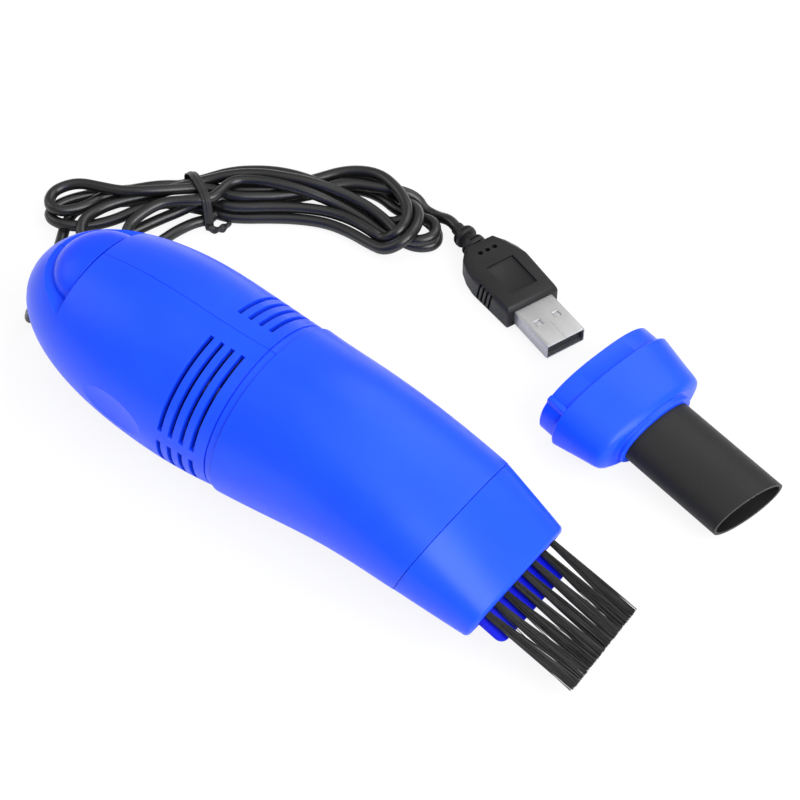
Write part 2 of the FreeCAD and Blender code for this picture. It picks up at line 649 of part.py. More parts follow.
def make_bristle_holder():
    """Flat tongue in the mouth, with a row of sockets for the tufts."""
    low = TONGUE_Z - TONGUE_THICKNESS / 2
    high = TONGUE_Z + TONGUE_THICKNESS / 2
    outline = [(9.0, low), (TONGUE_REACH, low), (TONGUE_REACH, high - 0.8), (22.1, high), (9.0, high)]
    points = [Vector(x, 0, z) for x, z in outline]
    profile = Part.makePolygon(points + points[:1])
    plate = Part.Face(profile).extrude(Vector(0, TONGUE_WIDTH, 0))
    plate.translate(Vector(0, -TONGUE_WIDTH / 2, 0))
    plate = plate.makeFillet(2.0, [edge for edge in plate.Edges if is_front_corner(edge)])
    block = box(9.0, TUFT_ROOT_X, -TONGUE_WIDTH / 2, TONGUE_WIDTH / 2, high - 0.1, high + 3.2)
    holder = plate.fuse(block)
    sockets = []
    for index in range(TUFT_COUNT):
        sockets.append(tuft_form(index))
    keep("bristle_holder", holder.cut(sockets), NOSE)


def is_front_corner(edge):
    middle = edge.CenterOfMass
    upright = edge.BoundBox.XLength < 0.01 and edge.BoundBox.YLength < 0.01
    return upright and abs(middle.x - TONGUE_REACH) < 0.01


def tuft_section(x, width, height, mid_y, squareness):
    """Ten-sided section of a tuft across X."""
    points = []
    for step in range(10):
        angle = 2 * math.pi * step / 10
        across = math.copysign(abs(math.cos(angle)) ** (2 / squareness), math.cos(angle)) * width / 2
        up = math.copysign(abs(math.sin(angle)) ** (2 / squareness), math.sin(angle)) * height / 2
        points.append(Vector(x, mid_y + across, TUFT_Z + up))
    return Part.makePolygon(points + points[:1])


def tuft_form(index):
    """One tuft of bristles, from its round root in the socket to its spread, squarer tip."""
    place = index - (TUFT_COUNT - 1) / 2
    root = tuft_section(TUFT_ROOT_X - TUFT_SOCKET, 1.9, 1.9, place * TUFT_ROOT_PITCH, 2.0)
    tip = tuft_section(TUFT_ROOT_X + TUFT_LENGTH, 3.0, 3.4, place * TUFT_TIP_PITCH, 3.0)
    return loft([root, tip], True)


def make_bristles():
    for index in range(TUFT_COUNT):
        keep("bristle_tuft_%d" % (index + 1), tuft_form(index), NOSE)


# ---------------------------------------------------------------- crevice tool

def crevice_form(inset):
    """Shoulder piece of the crevice tool: it narrows forward and rounds over at the front."""
    shrink = 2 * inset
    wires = []
    for share in (0.0, 0.5, 1.0):
        x = SKIRT_LENGTH + (CREVICE_FRONT_X - 3.0 - SKIRT_LENGTH) * share
        wires.append(oval(x, CREVICE_BACK_WIDTH + (CREVICE_FRONT_WIDTH - CREVICE_BACK_WIDTH) * share - shrink,
                          CREVICE_BACK_HEIGHT + (CREVICE_FRONT_HEIGHT - CREVICE_BACK_HEIGHT) * share - shrink,
                          0, SEAM_SQUARENESS - 0.35 * share))
    return loft(wires)


def crevice_shoulder():
    """Rounded front of the shoulder piece."""
    wires = []
    for turn in (0, 30, 60, 85):
        angle = math.radians(turn)
        x = CREVICE_FRONT_X - 3.0 + 3.0 * math.sin(angle)
        wires.append(oval(x, CREVICE_FRONT_WIDTH - 9.0 * (1 - math.cos(angle)),
                          CREVICE_FRONT_HEIGHT - 3.4 * (1 - math.cos(angle)), 0, SEAM_SQUARENESS - 0.35))
    return loft(wires)


def make_crevice_tool():
    collar = crevice_form(0).fuse(crevice_shoulder())
    lip = oval_bar(CREVICE_FRONT_X - 2, CREVICE_FRONT_X + 1.6, TUBE_WIDTH + 3.0, TUBE_HEIGHT + 2.6)
    back = oval_bar(0, SKIRT_LENGTH + 0.1, SKIRT_WIDTH, SKIRT_HEIGHT, 0, SEAM_SQUARENESS)
    collar = collar.fuse([lip, back, key_rib(0, 0, SKIRT_LENGTH + 0.2)])
    cavity = loft([
        oval(-0.1, SKIRT_WIDTH - 2 * SKIRT_WALL, SKIRT_HEIGHT - 2 * SKIRT_WALL, 0, SEAM_SQUARENESS),
        oval(SKIRT_LENGTH, SKIRT_WIDTH - 2 * SKIRT_WALL, SKIRT_HEIGHT - 2 * SKIRT_WALL, 0, SEAM_SQUARENESS),
        oval(TUBE_START_X, TUBE_WIDTH - 0.4, TUBE_HEIGHT - 0.4, 0, 2.0)], True)
    seat = oval_bar(TUBE_START_X - 0.02, CREVICE_FRONT_X + 3, TUBE_WIDTH, TUBE_HEIGHT)
    keep("crevice_collar", collar.cut([cavity, seat]), CREVICE)

    tube = oval_bar(TUBE_START_X, TUBE_END_X, TUBE_WIDTH, TUBE_HEIGHT)
    bore = oval_bar(TUBE_START_X - 1, TUBE_END_X + 1, TUBE_WIDTH - 2 * TUBE_WALL, TUBE_HEIGHT - 2 * TUBE_WALL)
    ahead = box(0, 10, -40, 10, -20, 20)
    ahead.Placement = placed(Vector(TUBE_END_X, TUBE_WIDTH / 2, 0), -MOUTH_SLANT)
    keep("crevice_tube", tube.cut([bore, ahead]), CREVICE)


# ---------------------------------------------------------------- lead

def sweep_tube(points, diameter, fixed_radius=None, report=None):
    """Round tube along straight runs that are joined by tangent arcs."""
    edges = []
    radii = []
    last = points[0]
    for before, corner, after in zip(points, points[1:], points[2:]):
        back = before - corner
        ahead = after - corner
        turn = math.pi - back.getAngle(ahead)
        tangent = 0.45 * min(back.Length, ahead.Length)
        radius = tangent / math.tan(turn / 2)
        if fixed_radius is not None:
            radius = min(fixed_radius, radius)
            tangent = radius * math.tan(turn / 2)
        radii.append(radius)
        start = corner + back.normalize() * tangent
        end = corner + ahead.normalize() * tangent
        inward = (back + ahead).normalize()
        middle = corner + inward * (radius / math.cos(turn / 2) - radius)
        edges.append(Part.LineSegment(last, start).toShape())
        edges.append(Part.Arc(start, middle, end).toShape())
        last = end
    edges.append(Part.LineSegment(last, points[-1]).toShape())
    path = Part.Wire(edges)
    ring = Part.Wire([Part.makeCircle(diameter / 2, points[0], points[1] - points[0])])
    tube = path.makePipeShell([ring], True, False)
    if report:
        share = tube.Volume / (math.pi * diameter ** 2 / 4 * path.Length)
        print(report, "length %.1f mm, volume share %.4f, arc radii" % (path.Length, share),
              ["%.1f" % radius for radius in radii])
    return tube


def gland_exit():
    """Where the lead leaves the strain relief, and the point just outside it, in the row frame."""
    tip = VACUUM.multVec(GLAND_AT + GLAND_AIM * 10.0)
    ahead = VACUUM.multVec(GLAND_AT + GLAND_AIM * 16.0)
    return tip, ahead


HANK_AT = Vector(-88.17, 29.39, 0)
NEAR_END = HANK_AT + Vector(-20.2, -38.0, CORD_RADIUS)
NEAR_RUN = Vector(-0.48, 0.877, 0).normalize()
FAR_END = HANK_AT + Vector(49.0, 34.2, CORD_RADIUS)
FAR_RUN = Vector(-1, 0, 0)
TIE_HEADING = 55.0
TIE_REACH = 10.3


def make_cords():
    """Lead from the gland down behind the tail to the hank, and from the plug back to the hank."""
    tip = VACUUM.multVec(GLAND_AT + GLAND_AIM * 10.0)
    ahead = VACUUM.multVec(GLAND_AT + GLAND_AIM * 14.2)
    lead = [tip, ahead, Vector(-93.6, -33.5, 5.6), Vector(-96.6, -32.4, 1.85),
            Vector(-99.7, -26.7, CORD_RADIUS), NEAR_END - NEAR_RUN * 7.6, NEAR_END]
    keep("cord_lead", sweep_tube(lead, CORD_DIAMETER, report="cord_lead"))
    plug_back = PLUG.multVec(Vector(-PLUG_BODY_LENGTH - RELIEF_LENGTH, 0, 0))
    plug_ahead = PLUG.multVec(Vector(-PLUG_BODY_LENGTH - RELIEF_LENGTH - 3.8, 0, 0))
    tail = [plug_back, plug_ahead, FAR_END - FAR_RUN * 4.4, FAR_END]
    keep("cord_tail", sweep_tube(tail, CORD_DIAMETER, report="cord_tail"))


def end_face(point, run):
    """Two corners of the hank's outline, square to the run of cord that meets it at point."""
    side = run.cross(Z_AXIS) * 2.6
    return [point + side, point - side]


def make_hank():
    """Outer form of the folded lead, as one flat bundle with flats where the tie grips it."""
    left_end = [(-32.5, -32.1), (-35.5, -26.6), (-36, -22.6), (-27.5, -17.6), (-18.5, -7.1), (-11, 1.4)]
    far_side = [(2, 16.7), (7.5, 21), (16, 24), (19, 29.4), (23, 33.9), (28, 37), (35, 37.7)]
    right_end = [(58, 30.9), (58.5, 24.4), (56.5, 17.9), (52, 15.4)]
    near_side = [(37.2, 15.6), (30.7, 14.1), (22.4, 9.6), (15, 4.1), (11.5, -2.8)]
    behind_tail = [(3, -16.4), (1, -21.6), (-6, -28.1)]
    turn = FreeCAD.Rotation(Z_AXIS, TIE_HEADING)
    grip = TIE_REACH - 0.1
    far_flat = [HANK_AT + turn.multVec(Vector(x, grip, 0)) for x in (-2.4, 2.4)]
    near_flat = [HANK_AT + turn.multVec(Vector(x, -grip, 0)) for x in (2.4, -2.4)]
    corners = end_face(NEAR_END, NEAR_RUN)
    corners += [HANK_AT + Vector(x, y, 0) for x, y in left_end] + far_flat
    corners += [HANK_AT + Vector(x, y, 0) for x, y in far_side] + end_face(FAR_END, FAR_RUN)
    corners += [HANK_AT + Vector(x, y, 0) for x, y in right_end + near_side] + near_flat
    corners += [HANK_AT + Vector(x, y, 0) for x, y in behind_tail]
    floor_corners = [Vector(corner.x, corner.y, 0) for corner in corners]
    outline = Part.makePolygon(floor_corners + floor_corners[:1])
    keep("cord_hank", Part.Face(outline).extrude(Vector(0, 0, HANK_TOP)))


def make_tie():
    """Twist tie: a flat band over the bundle and down its two sides."""
    wire = 0.9
    band = box(-1.4, 1.4, -TIE_REACH - wire, TIE_REACH + wire, 0, HANK_TOP + wire)
    window = box(-2, 2, -TIE_REACH, TIE_REACH, -1, HANK_TOP)
    keep("cord_tie", band.cut(window), placed(HANK_AT, TIE_HEADING))


# ---------------------------------------------------------------- plug

def plug_outline(z, inset, front_x, bulge):
    """Plan outline of the overmould at z: straight flanks, and a taper to the back that may bulge."""
    half = PLUG_BODY_WIDTH / 2 - inset
    front = PLUG_BODY_FRONT_WIDTH / 2 - inset
    shoulder_x = -15.3
    back_x = -PLUG_BODY_LENGTH
    back = PLUG_BODY_BACK_WIDTH / 2
    mid_x = (shoulder_x + back_x) / 2 - 0.4 * bulge
    mid_y = (half + back) / 2 + 0.9 * bulge
    return Part.Wire([
        Part.LineSegment(Vector(front_x, -front, z), Vector(shoulder_x, -half, z)).toShape(),
        Part.Arc(Vector(shoulder_x, -half, z), Vector(mid_x, -mid_y, z), Vector(back_x, -back, z)).toShape(),
        Part.LineSegment(Vector(back_x, -back, z), Vector(back_x, back, z)).toShape(),
        Part.Arc(Vector(back_x, back, z), Vector(mid_x, mid_y, z), Vector(shoulder_x, half, z)).toShape(),
        Part.LineSegment(Vector(shoulder_x, half, z), Vector(front_x, front, z)).toShape(),
        Part.LineSegment(Vector(front_x, front, z), Vector(front_x, -front, z)).toShape(),
    ])


def make_plug_overmould():
    """Overmould with chamfered rims, a recessed panel, grip slits and three dimples; no marks."""
    half = PLUG_BODY_HEIGHT / 2
    core = loft([plug_outline(-half + 1.4, 0, 0, 1.2), plug_outline(half - 1.4, 0, 0, 1.2)], True)
    top = loft([plug_outline(half - 1.4, 0, 0, 1.2), plug_outline(half, 0.35, -1.0, 0.05)], True)
    bottom = loft([plug_outline(-half, 0.35, -1.0, 0.05), plug_outline(-half + 1.4, 0, 0, 1.2)], True)
    body = union([core, top, bottom])
    panel = box(-16.0, -4.6, -4.0, 4.4, half - 0.45, half + 1)
    half_w = USB_WIDTH / 2 + 0.02
    half_h = USB_HEIGHT / 2 + 0.02
    pocket = box(-9.0, 1, -half_w, half_w, -half_h, half_h)
    cutters = [panel, pocket]
    for side in (-1, 1):
        for index in range(GRIP_SLITS):
            slit = box(-0.35, 0.35, side * 7.9 - 0.6, side * 7.9 + 0.6, -3.0, 3.0)
            slit.Placement = placed(Vector(-12.5 + index * 1.6, 0, 0), 0, 12)
            cutters.append(slit)
    for index in range(3):
        cutters.append(Part.makeCylinder(0.6, 1.0, Vector(-21.2, (index - 1) * 2.2, half - 0.5)))
    keep("plug_overmould", body.cut(cutters), PLUG)


def make_plug_relief():
    """Sleeve behind the overmould, with two fat rings."""
    back = -PLUG_BODY_LENGTH
    pieces = [rod(back - RELIEF_LENGTH, back, 2.2), rod(back - 8.0, back, 2.7)]
    for middle, radius in ((2.6, 3.5), (6.6, 3.3)):
        pieces.append(rod(back - middle - 1.4, back - middle + 1.4, radius))
    keep("plug_relief", union(pieces), PLUG)


def make_usb():
    half_w = USB_WIDTH / 2
    half_h = USB_HEIGHT / 2
    shell = box(-9.0, USB_REACH, -half_w, half_w, -half_h, half_h)
    hollow = box(-8.0, USB_REACH + 1, -half_w + USB_SHEET, half_w - USB_SHEET, -half_h + USB_SHEET,
                 half_h - USB_SHEET)
    windows = []
    for side in (-1, 1):
        windows.append(box(5.1, 7.4, side * 2.9 - 1.15, side * 2.9 + 1.15, -half_h - 1, half_h + 1))
    shell = shell.cut([hollow] + windows)
    keep("usb_shell", shell, PLUG)
    tongue = box(-7.9, USB_REACH - 1.4, -half_w + USB_SHEET + 0.05, half_w - USB_SHEET - 0.05,
                 -half_h + USB_SHEET + 0.02, -0.1)
    contacts = []
    grooves = []
    for place, reach in ((-3.5, 11.6), (-1.0, 10.6), (1.0, 10.6), (3.5, 11.6)):
        contacts.append(box(-6.0, reach, place - 0.5, place + 0.5, -0.3, 0.05))
        grooves.append(box(-6.0, reach, place - 0.5, place + 0.5, -0.3, 1))
    keep("usb_tongue", tongue.cut(grooves), PLUG)
    keep("usb_contacts", Part.makeCompound(contacts), PLUG)


# ---------------------------------------------------------------- all pieces

def main():
    os.makedirs("parts", exist_ok=True)
    make_housing()
    make_inlet_grille()
    make_motor()
    make_rotor()
    make_fan_plate()
    make_switch()
    make_strain_relief()
    make_inner_wires()
    make_dust_cup()
    make_filter()
    make_brush_nozzle()
    make_bristle_holder()
    make_bristles()
    make_crevice_tool()
    make_cords()
    make_hank()
    make_tie()
    make_plug_overmould()
    make_plug_relief()
    make_usb()
    for name, shape in PARTS.items():
        shape.exportStep("parts/%s.step" % name)
    print(len(PARTS), "pieces")


main()
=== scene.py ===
import json
import math
import random

import bmesh
import bpy
import numpy as np
from mathutils import Matrix, Vector


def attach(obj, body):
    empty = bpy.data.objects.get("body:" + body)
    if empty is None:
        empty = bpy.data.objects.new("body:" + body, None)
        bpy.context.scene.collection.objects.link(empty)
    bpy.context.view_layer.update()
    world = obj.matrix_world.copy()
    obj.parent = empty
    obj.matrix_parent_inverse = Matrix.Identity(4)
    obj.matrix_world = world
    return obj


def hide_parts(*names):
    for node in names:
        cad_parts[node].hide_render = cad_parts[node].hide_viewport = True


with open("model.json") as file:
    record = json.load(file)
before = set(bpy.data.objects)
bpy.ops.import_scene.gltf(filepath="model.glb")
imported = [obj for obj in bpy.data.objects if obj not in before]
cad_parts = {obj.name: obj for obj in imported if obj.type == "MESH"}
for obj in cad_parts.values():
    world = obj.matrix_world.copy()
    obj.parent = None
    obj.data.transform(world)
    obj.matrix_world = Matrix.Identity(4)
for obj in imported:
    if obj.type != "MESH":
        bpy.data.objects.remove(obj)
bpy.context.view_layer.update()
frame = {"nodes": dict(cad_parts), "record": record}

# Desktop mini vacuum cleaner with its brush nozzle, a loose crevice tool and a USB lead.
# +X points towards the nozzle, +Y to the vacuum's left, +Z up, and the floor is at z = 0.
# Sizes and places are in millimetres; those of the camera, floor, lamps and finishes are in metres.
MM = 0.001
UP = Vector((0, 0, 1))


def turned(place, heading=0.0, pitch=0.0):
    """Frame that stands at a place, nose-down by pitch and then turned by heading, in degrees."""
    move = Matrix.Translation(Vector(place) * MM)
    turn = Matrix.Rotation(math.radians(heading), 4, "Z")
    dip = Matrix.Rotation(math.radians(pitch), 4, "Y")
    return move @ turn @ dip


# Where the vacuum, the nozzle in its cup, the loose crevice tool and the plug lie
VACUUM = turned((-15.72, -29.77, 22.38), 0, 5)
NOSE = VACUUM @ turned((55.9, 0, 3.0), 0, 14)
CREVICE = turned((36.41, 34.9, 11.41), -8.7, 5.8)
PLUG = turned((7.27, 50.11, 4.0), -18.9)


def at(frame_of, place):
    """Place given in the millimetres of a frame, as millimetres on the floor."""
    return frame_of @ (Vector(place) * MM) / MM


# ---------------------------------------------------------------- camera

CAMERA_LENS = 99.0
CAMERA_AZIMUTH = 37.85
CAMERA_ELEVATION = 50.1
CAMERA_DISTANCE = 0.564
CAMERA_NEAR_LIMIT = 0.01
LOOK_AT = Vector((-0.00319, 0.00659, 0.0))


def make_camera():
    """Camera in front of the nozzle, to its right and above it."""
    turn = math.radians(CAMERA_AZIMUTH)
    lift = math.radians(CAMERA_ELEVATION)
    level = math.cos(lift)
    sight = Vector((-math.sin(turn) * level, math.cos(turn) * level, -math.sin(lift)))
    bpy.ops.object.camera_add(location=LOOK_AT - sight * CAMERA_DISTANCE)
    camera = bpy.context.object
    camera.rotation_euler = sight.to_track_quat("-Z", "Y").to_euler()
    camera.data.lens = CAMERA_LENS
    camera.data.clip_start = CAMERA_NEAR_LIMIT
    bpy.context.scene.camera = camera


make_camera()

# ---------------------------------------------------------------- lead

CORD_DIAMETER = 3.1
CORD_RADIUS = CORD_DIAMETER / 2
PLUG_LENGTH = 25.0
RELIEF_LENGTH = 10.5
GLAND_LENGTH = 10.0
GLAND_AT = at(VACUUM, (-66.0, 0, -8.6))
GLAND_AIM = (VACUUM.to_3x3() @ Vector((-0.66, 0, -0.75))).normalized()
HANK_AT = Vector((-88.17, 29.39, 0))
HANK_TOP = 9.3

# The hank's two edges from the tie to the folds at its right end, measured from the tie
FAR_EDGE = [(-5.2, 3.7), (0.5, 9.5), (7.0, 14.6), (13.5, 18.6),
            (19.8, 24.5), (26.0, 31.0), (35.0, 34.5), (43.8, 32.6)]
NEAR_EDGE = [(5.2, -3.7), (8.4, -1.2), (12.0, 2.0), (17.0, 6.6),
             (23.5, 11.2), (31.0, 14.8), (39.0, 15.8), (46.0, 15.4)]
# How each group of strands runs between those edges after the tie: its first strand's share of
# the width, that strand's height, the step across to each next strand, and the lift of every
# other one
OVER = ([0.95, 0.96, 0.86, 0.66, 0.52, 0.48, 0.48], [4.6, 4.8, 5.4, 4.6, 2.6, 1.7, 1.6], -0.10, 1.4)
ARCH = ([0.50, 0.50, 0.58, 0.80, 0.99, 1.02, 1.0], [1.6, 1.6, 1.6, 1.6, 1.6, 1.8, 2.6], -0.09, 2.8)
EDGE = ([0.06, 0.03, 0.02, 0.01, 0.0, 0.0, 0.0], [1.6] * 7, 0.13, 1.6)
# Strands in the order of the lead: share and height at the tie, group, place in the group
STRANDS = [(0.25, 1.6, EDGE, 0), (0.0, 1.6, ARCH, 0), (0.12, 4.4, OVER, 2), (0.38, 4.4, ARCH, 2),
           (0.88, 4.4, OVER, 1), (1.0, 1.6, OVER, 0), (0.5, 1.6, EDGE, 1), (0.75, 1.6, ARCH, 1),
           (0.62, 4.4, ARCH, 3)]
# Folds at the hank's right end, from the near strand round to the far one
RIGHT_FOLDS = [
    [(52.0, 15.0, 2.0), (56.0, 18.2, 4.4), (55.8, 24.4, 5.2), (51.8, 30.2, 4.8)],
    [(50.0, 20.8, 1.6), (56.0, 21.4, 1.6), (59.7, 25.5, 1.6), (57.2, 30.0, 1.6),
     (52.0, 32.0, 1.7), (46.0, 32.2, 2.0)],
    [(50.4, 20.0, 3.4), (56.2, 20.8, 4.4), (59.4, 25.8, 5.0), (55.8, 30.8, 4.8), (48.6, 29.8, 3.6)],
    [(48.4, 17.6, 2.4), (52.2, 19.0, 5.6), (52.6, 23.6, 7.4), (49.5, 28.0, 6.6)],
]
# Folds at its left end, from the strand that comes from the tie to the one that goes back to it
LEFT_FOLDS = [
    [(2.6, -7.5, 1.6), (1.0, -13.0, 1.6), (0.4, -18.5, 1.6), (0.0, -23.8, 1.6),
     (-4.4, -27.8, 2.2), (-8.8, -23.6, 3.4), (-8.0, -17.0, 4.6), (-6.0, -10.5, 4.6)],
    [(-3.5, -6.0, 1.6), (-6.5, -13.5, 1.6), (-8.6, -20.5, 1.6), (-10.5, -27.0, 1.6),
     (-12.6, -31.0, 1.6), (-17.0, -33.6, 1.8), (-20.8, -29.6, 2.4), (-20.8, -24.5, 3.2),
     (-18.8, -18.5, 4.4), (-13.5, -11.0, 4.4)],
    [(-8.5, -1.8, 1.8), (-14.8, -8.0, 2.0), (-20.8, -14.3, 2.4), (-25.5, -20.5, 3.0),
     (-29.4, -26.0, 2.4), (-30.6, -30.5, 1.7), (-27.5, -32.8, 1.6), (-22.5, -32.0, 1.6),
     (-17.8, -27.6, 1.6), (-13.2, -21.5, 1.6), (-9.0, -14.5, 3.0)],
    [(-9.5, -5.5, 4.4), (-15.5, -12.0, 4.4), (-20.6, -19.4, 4.6), (-20.8, -24.0, 4.8),
     (-22.7, -28.4, 4.9), (-25.6, -31.8, 5.0), (-29.8, -31.4, 5.2), (-32.2, -27.6, 5.6),
     (-31.4, -23.8, 6.2), (-28.4, -20.4, 7.0), (-23.4, -18.6, 7.5), (-17.4, -16.2, 7.4),
     (-11.5, -11.5, 7.2)],
]
# First and last run of the hank, still measured from the tie
LEAD_IN = [(-24.6, -30.6, 1.6), (-26.6, -25.0, 1.6), (-24.0, -20.5, 1.6), (-18.5, -14.0, 1.6),
           (-12.0, -8.5, 1.6)]
TAIL_OUT = [(42.0, 31.6, 4.2), (46.0, 33.8, 2.2)]
# Loose ends of the lead: from the gland down behind the tail, and from the hank to the plug
GLAND_END = [(-93.6, -33.5, 5.6), (-96.6, -32.4, 1.85), (-99.7, -26.7, 1.55),
             (-104.7, -15.3, 1.55), (-108.37, -8.61, 1.55)]
PLUG_END = [(-39.17, 63.59, 1.55), (-34.77, 63.59, 1.55)]
# Where the lead runs straight: along the gland's axis, and along the plug's behind its relief
GLAND_REACHES = (7.0, 10.0, 14.2)
RELIEF_REACHES = (3.8, 0.0, -3.0)

SETTLE_ROUNDS = 120
NEIGHBOURS = 3
PUSH_SHARE = 0.3
PUSH_GAIN = 1.6
SMOOTHING = 0.25


def vectors(points):
    """Points of a table as vectors."""
    return [Vector(point) for point in points]


def strand_run(share, height, group, place):
    """Points of one strand from the tie to the right folds."""
    shares, heights, step, lift = group
    stations = [(share, height)]
    for across, up in zip(shares, heights):
        stations.append((across + step * place, up + lift * (place % 2)))
    run = []
    for (across, up), near, far in zip(stations, NEAR_EDGE, FAR_EDGE):
        run.append(Vector((*near, 0)).lerp(Vector((*far, 0)), across) + UP * up)
    return run


def hank_turns():
    """All turns of the hank: strands to the right and back again, with a fold between each two."""
    turns = vectors(LEAD_IN)
    for count, strand in enumerate(STRANDS):
        run = strand_run(*strand)
        if count % 2:
            turns += run[::-1] + vectors(LEFT_FOLDS[count // 2])
        elif count < len(STRANDS) - 1:
            turns += run + vectors(RIGHT_FOLDS[count // 2])
        else:
            turns += run[:-1]
    return [HANK_AT + point for point in turns + vectors(TAIL_OUT)]


def settle(route, held):
    """Let the strands push each other apart until they lie side by side; held points stay."""
    line = np.array([list(point) for point in route])
    home = line.copy()
    first, second = np.triu_indices(len(line) - 1, NEIGHBOURS)
    for _ in range(SETTLE_ROUNDS):
        # Each pair of straight lengths of the lead, and the shares s and t where they come nearest
        start, end = line[first], line[second]
        along, across = line[first + 1] - start, line[second + 1] - end
        between = start - end
        a, b, c = (along * along).sum(1), (along * across).sum(1), (across * across).sum(1)
        d, e = (along * between).sum(1), (across * between).sum(1)
        s = np.clip((b * e - c * d) / np.maximum(a * c - b * b, 1e-9), 0, 1)
        t = np.clip((b * s + e) / c, 0, 1)
        s = np.clip((b * t - d) / a, 0, 1)
        gap = start + along * s[:, None] - end - across * t[:, None]
        far = np.sqrt((gap ** 2).sum(1))
        close = far < CORD_DIAMETER
        if not close.any():
            break
        # Push the ends of the lengths that overlap, more the nearer they are to that place
        apart = gap[close] / np.maximum(far[close], 1e-6)[:, None]
        push = apart * (PUSH_SHARE * (CORD_DIAMETER - far[close]))[:, None]
        move = np.zeros_like(line)
        weight = np.ones(len(line))
        s, t = s[close], t[close]
        for index, share, way in ((first[close], 1 - s, 1), (first[close] + 1, s, 1),
                                  (second[close], 1 - t, -1), (second[close] + 1, t, -1)):
            np.add.at(move, index, push * (share * way)[:, None])
            np.add.at(weight, index, share)
        drift = line + move / np.maximum(weight, 1)[:, None] * PUSH_GAIN - home
        smooth = drift.copy()
        smooth[1:-1] = (drift[:-2] + drift[1:-1] * 2 + drift[2:]) / 4
        line = home + drift * (1 - SMOOTHING) + smooth * SMOOTHING
        line[:, 2] = np.clip(line[:, 2], CORD_RADIUS, HANK_TOP - CORD_RADIUS)
        line[held] = home[held]
    return vectors(line)


def lead_route():
    """The whole lead as one line: gland, floor behind the tail, hank, plug."""
    head = [GLAND_AT + GLAND_AIM * reach for reach in GLAND_REACHES] + vectors(GLAND_END)
    foot = vectors(PLUG_END) + [at(PLUG, (-PLUG_LENGTH - RELIEF_LENGTH - reach, 0, 0))
                                for reach in RELIEF_REACHES]
    route = head + hank_turns() + foot
    held = list(range(len(head))) + list(range(len(route) - len(foot), len(route)))
    return settle(route, held)


def make_cord():
    """The lead as one smooth line with a round jacket."""
    route = lead_route()
    data = bpy.data.curves.new("power_cord", "CURVE")
    data.dimensions = "3D"
    spline = data.splines.new("NURBS")
    spline.points.add(len(route) - 1)
    for point, place in zip(spline.points, route):
        point.co = (*(place * MM), 1)
        point.radius = MM
    spline.order_u = 3
    spline.use_endpoint_u = True
    spline.resolution_u = 6
    data.bevel_depth = CORD_RADIUS
    data.bevel_resolution = 4
    data.use_fill_caps = True
    cord = bpy.data.objects.new("power_cord", data)
    bpy.context.collection.objects.link(cord)
    return cord


cord = make_cord()
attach(cord, "vacuum_body")
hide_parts("cord_lead", "cord_hank", "cord_tail")

# ---------------------------------------------------------------- finishes

# Range that a noise seldom leaves, and the part of it where one colour goes over into another
NOISE_RANGE = (0.3, 0.7)
BLEND_RANGE = (0.35, 0.65)
SOFT_EDGE = 0.00022


def new_finish(name):
    """Empty material with its shader and a point in the piece's own space."""
    finish = bpy.data.materials.new(name)
    finish.use_nodes = True
    nodes = finish.node_tree.nodes
    shader = nodes["Principled BSDF"]
    place = nodes.new("ShaderNodeTexCoord").outputs["Object"]
    return finish, nodes, finish.node_tree.links, shader, place


def grain(nodes, links, place, scale, detail=3.0, stretch=None):
    """Noise of so many grains a metre, drawn out along an axis where stretch says so."""
    if stretch:
        mapping = nodes.new("ShaderNodeMapping")
        mapping.inputs["Scale"].default_value = stretch
        links.new(place, mapping.inputs["Vector"])
        place = mapping.outputs["Vector"]
    noise = nodes.new("ShaderNodeTexNoise")
    noise.inputs["Scale"].default_value = scale
    noise.inputs["Detail"].default_value = detail
    links.new(place, noise.inputs["Vector"])
    return noise.outputs["Fac"]


def spread(nodes, links, value, low, high):
    """Noise spread over a range of its own."""
    span = nodes.new("ShaderNodeMapRange")
    span.inputs["From Min"].default_value, span.inputs["From Max"].default_value = NOISE_RANGE
    span.inputs["To Min"].default_value = low
    span.inputs["To Max"].default_value = high
    links.new(value, span.inputs["Value"])
    return span.outputs["Result"]


def blend_colour(nodes, links, value, *colours):
    """Colour that goes from the first to the second as the noise rises."""
    ramp = nodes.new("ShaderNodeValToRGB")
    for stop, position, colour in zip(ramp.color_ramp.elements, BLEND_RANGE, colours):
        stop.position = position
        stop.color = (*colour, 1)
    links.new(value, ramp.inputs["Fac"])
    return ramp.outputs["Color"]


def raise_surface(nodes, links, shader, height, strength, depth, edge=0.0):
    """Fine relief of the surface; edge rounds the look of sharp corners by that radius."""
    bump = nodes.new("ShaderNodeBump")
    if edge:
        soft = nodes.new("ShaderNodeBevel")
        soft.samples = 6
        soft.inputs["Radius"].default_value = edge
        links.new(soft.outputs["Normal"], bump.inputs["Normal"])
    bump.inputs["Strength"].default_value = strength
    bump.inputs["Distance"].default_value = depth
    links.new(height, bump.inputs["Height"])
    links.new(bump.outputs["Normal"], shader.inputs["Normal"])


def moulded(name, colour, deeper, rough=(0.3, 0.38), texture=2500.0, depth=0.00001, shine=0.3,
            stretch=None, edge=SOFT_EDGE, tint=(1, 1, 1), clouds=60.0):
    """Moulded plastic or rubber: a slightly uneven colour, satin gloss and a fine skin texture."""
    finish, nodes, links, shader, place = new_finish(name)
    cloudy = grain(nodes, links, place, clouds, 2.0, stretch)
    links.new(blend_colour(nodes, links, cloudy, deeper, colour), shader.inputs["Base Color"])
    skin = grain(nodes, links, place, texture, 4.0, stretch)
    links.new(spread(nodes, links, skin, *rough), shader.inputs["Roughness"])
    raise_surface(nodes, links, shader, skin, 0.5, depth, edge)
    shader.inputs["Specular IOR Level"].default_value = shine
    shader.inputs["Specular Tint"].default_value = (*tint, 1)
    return finish


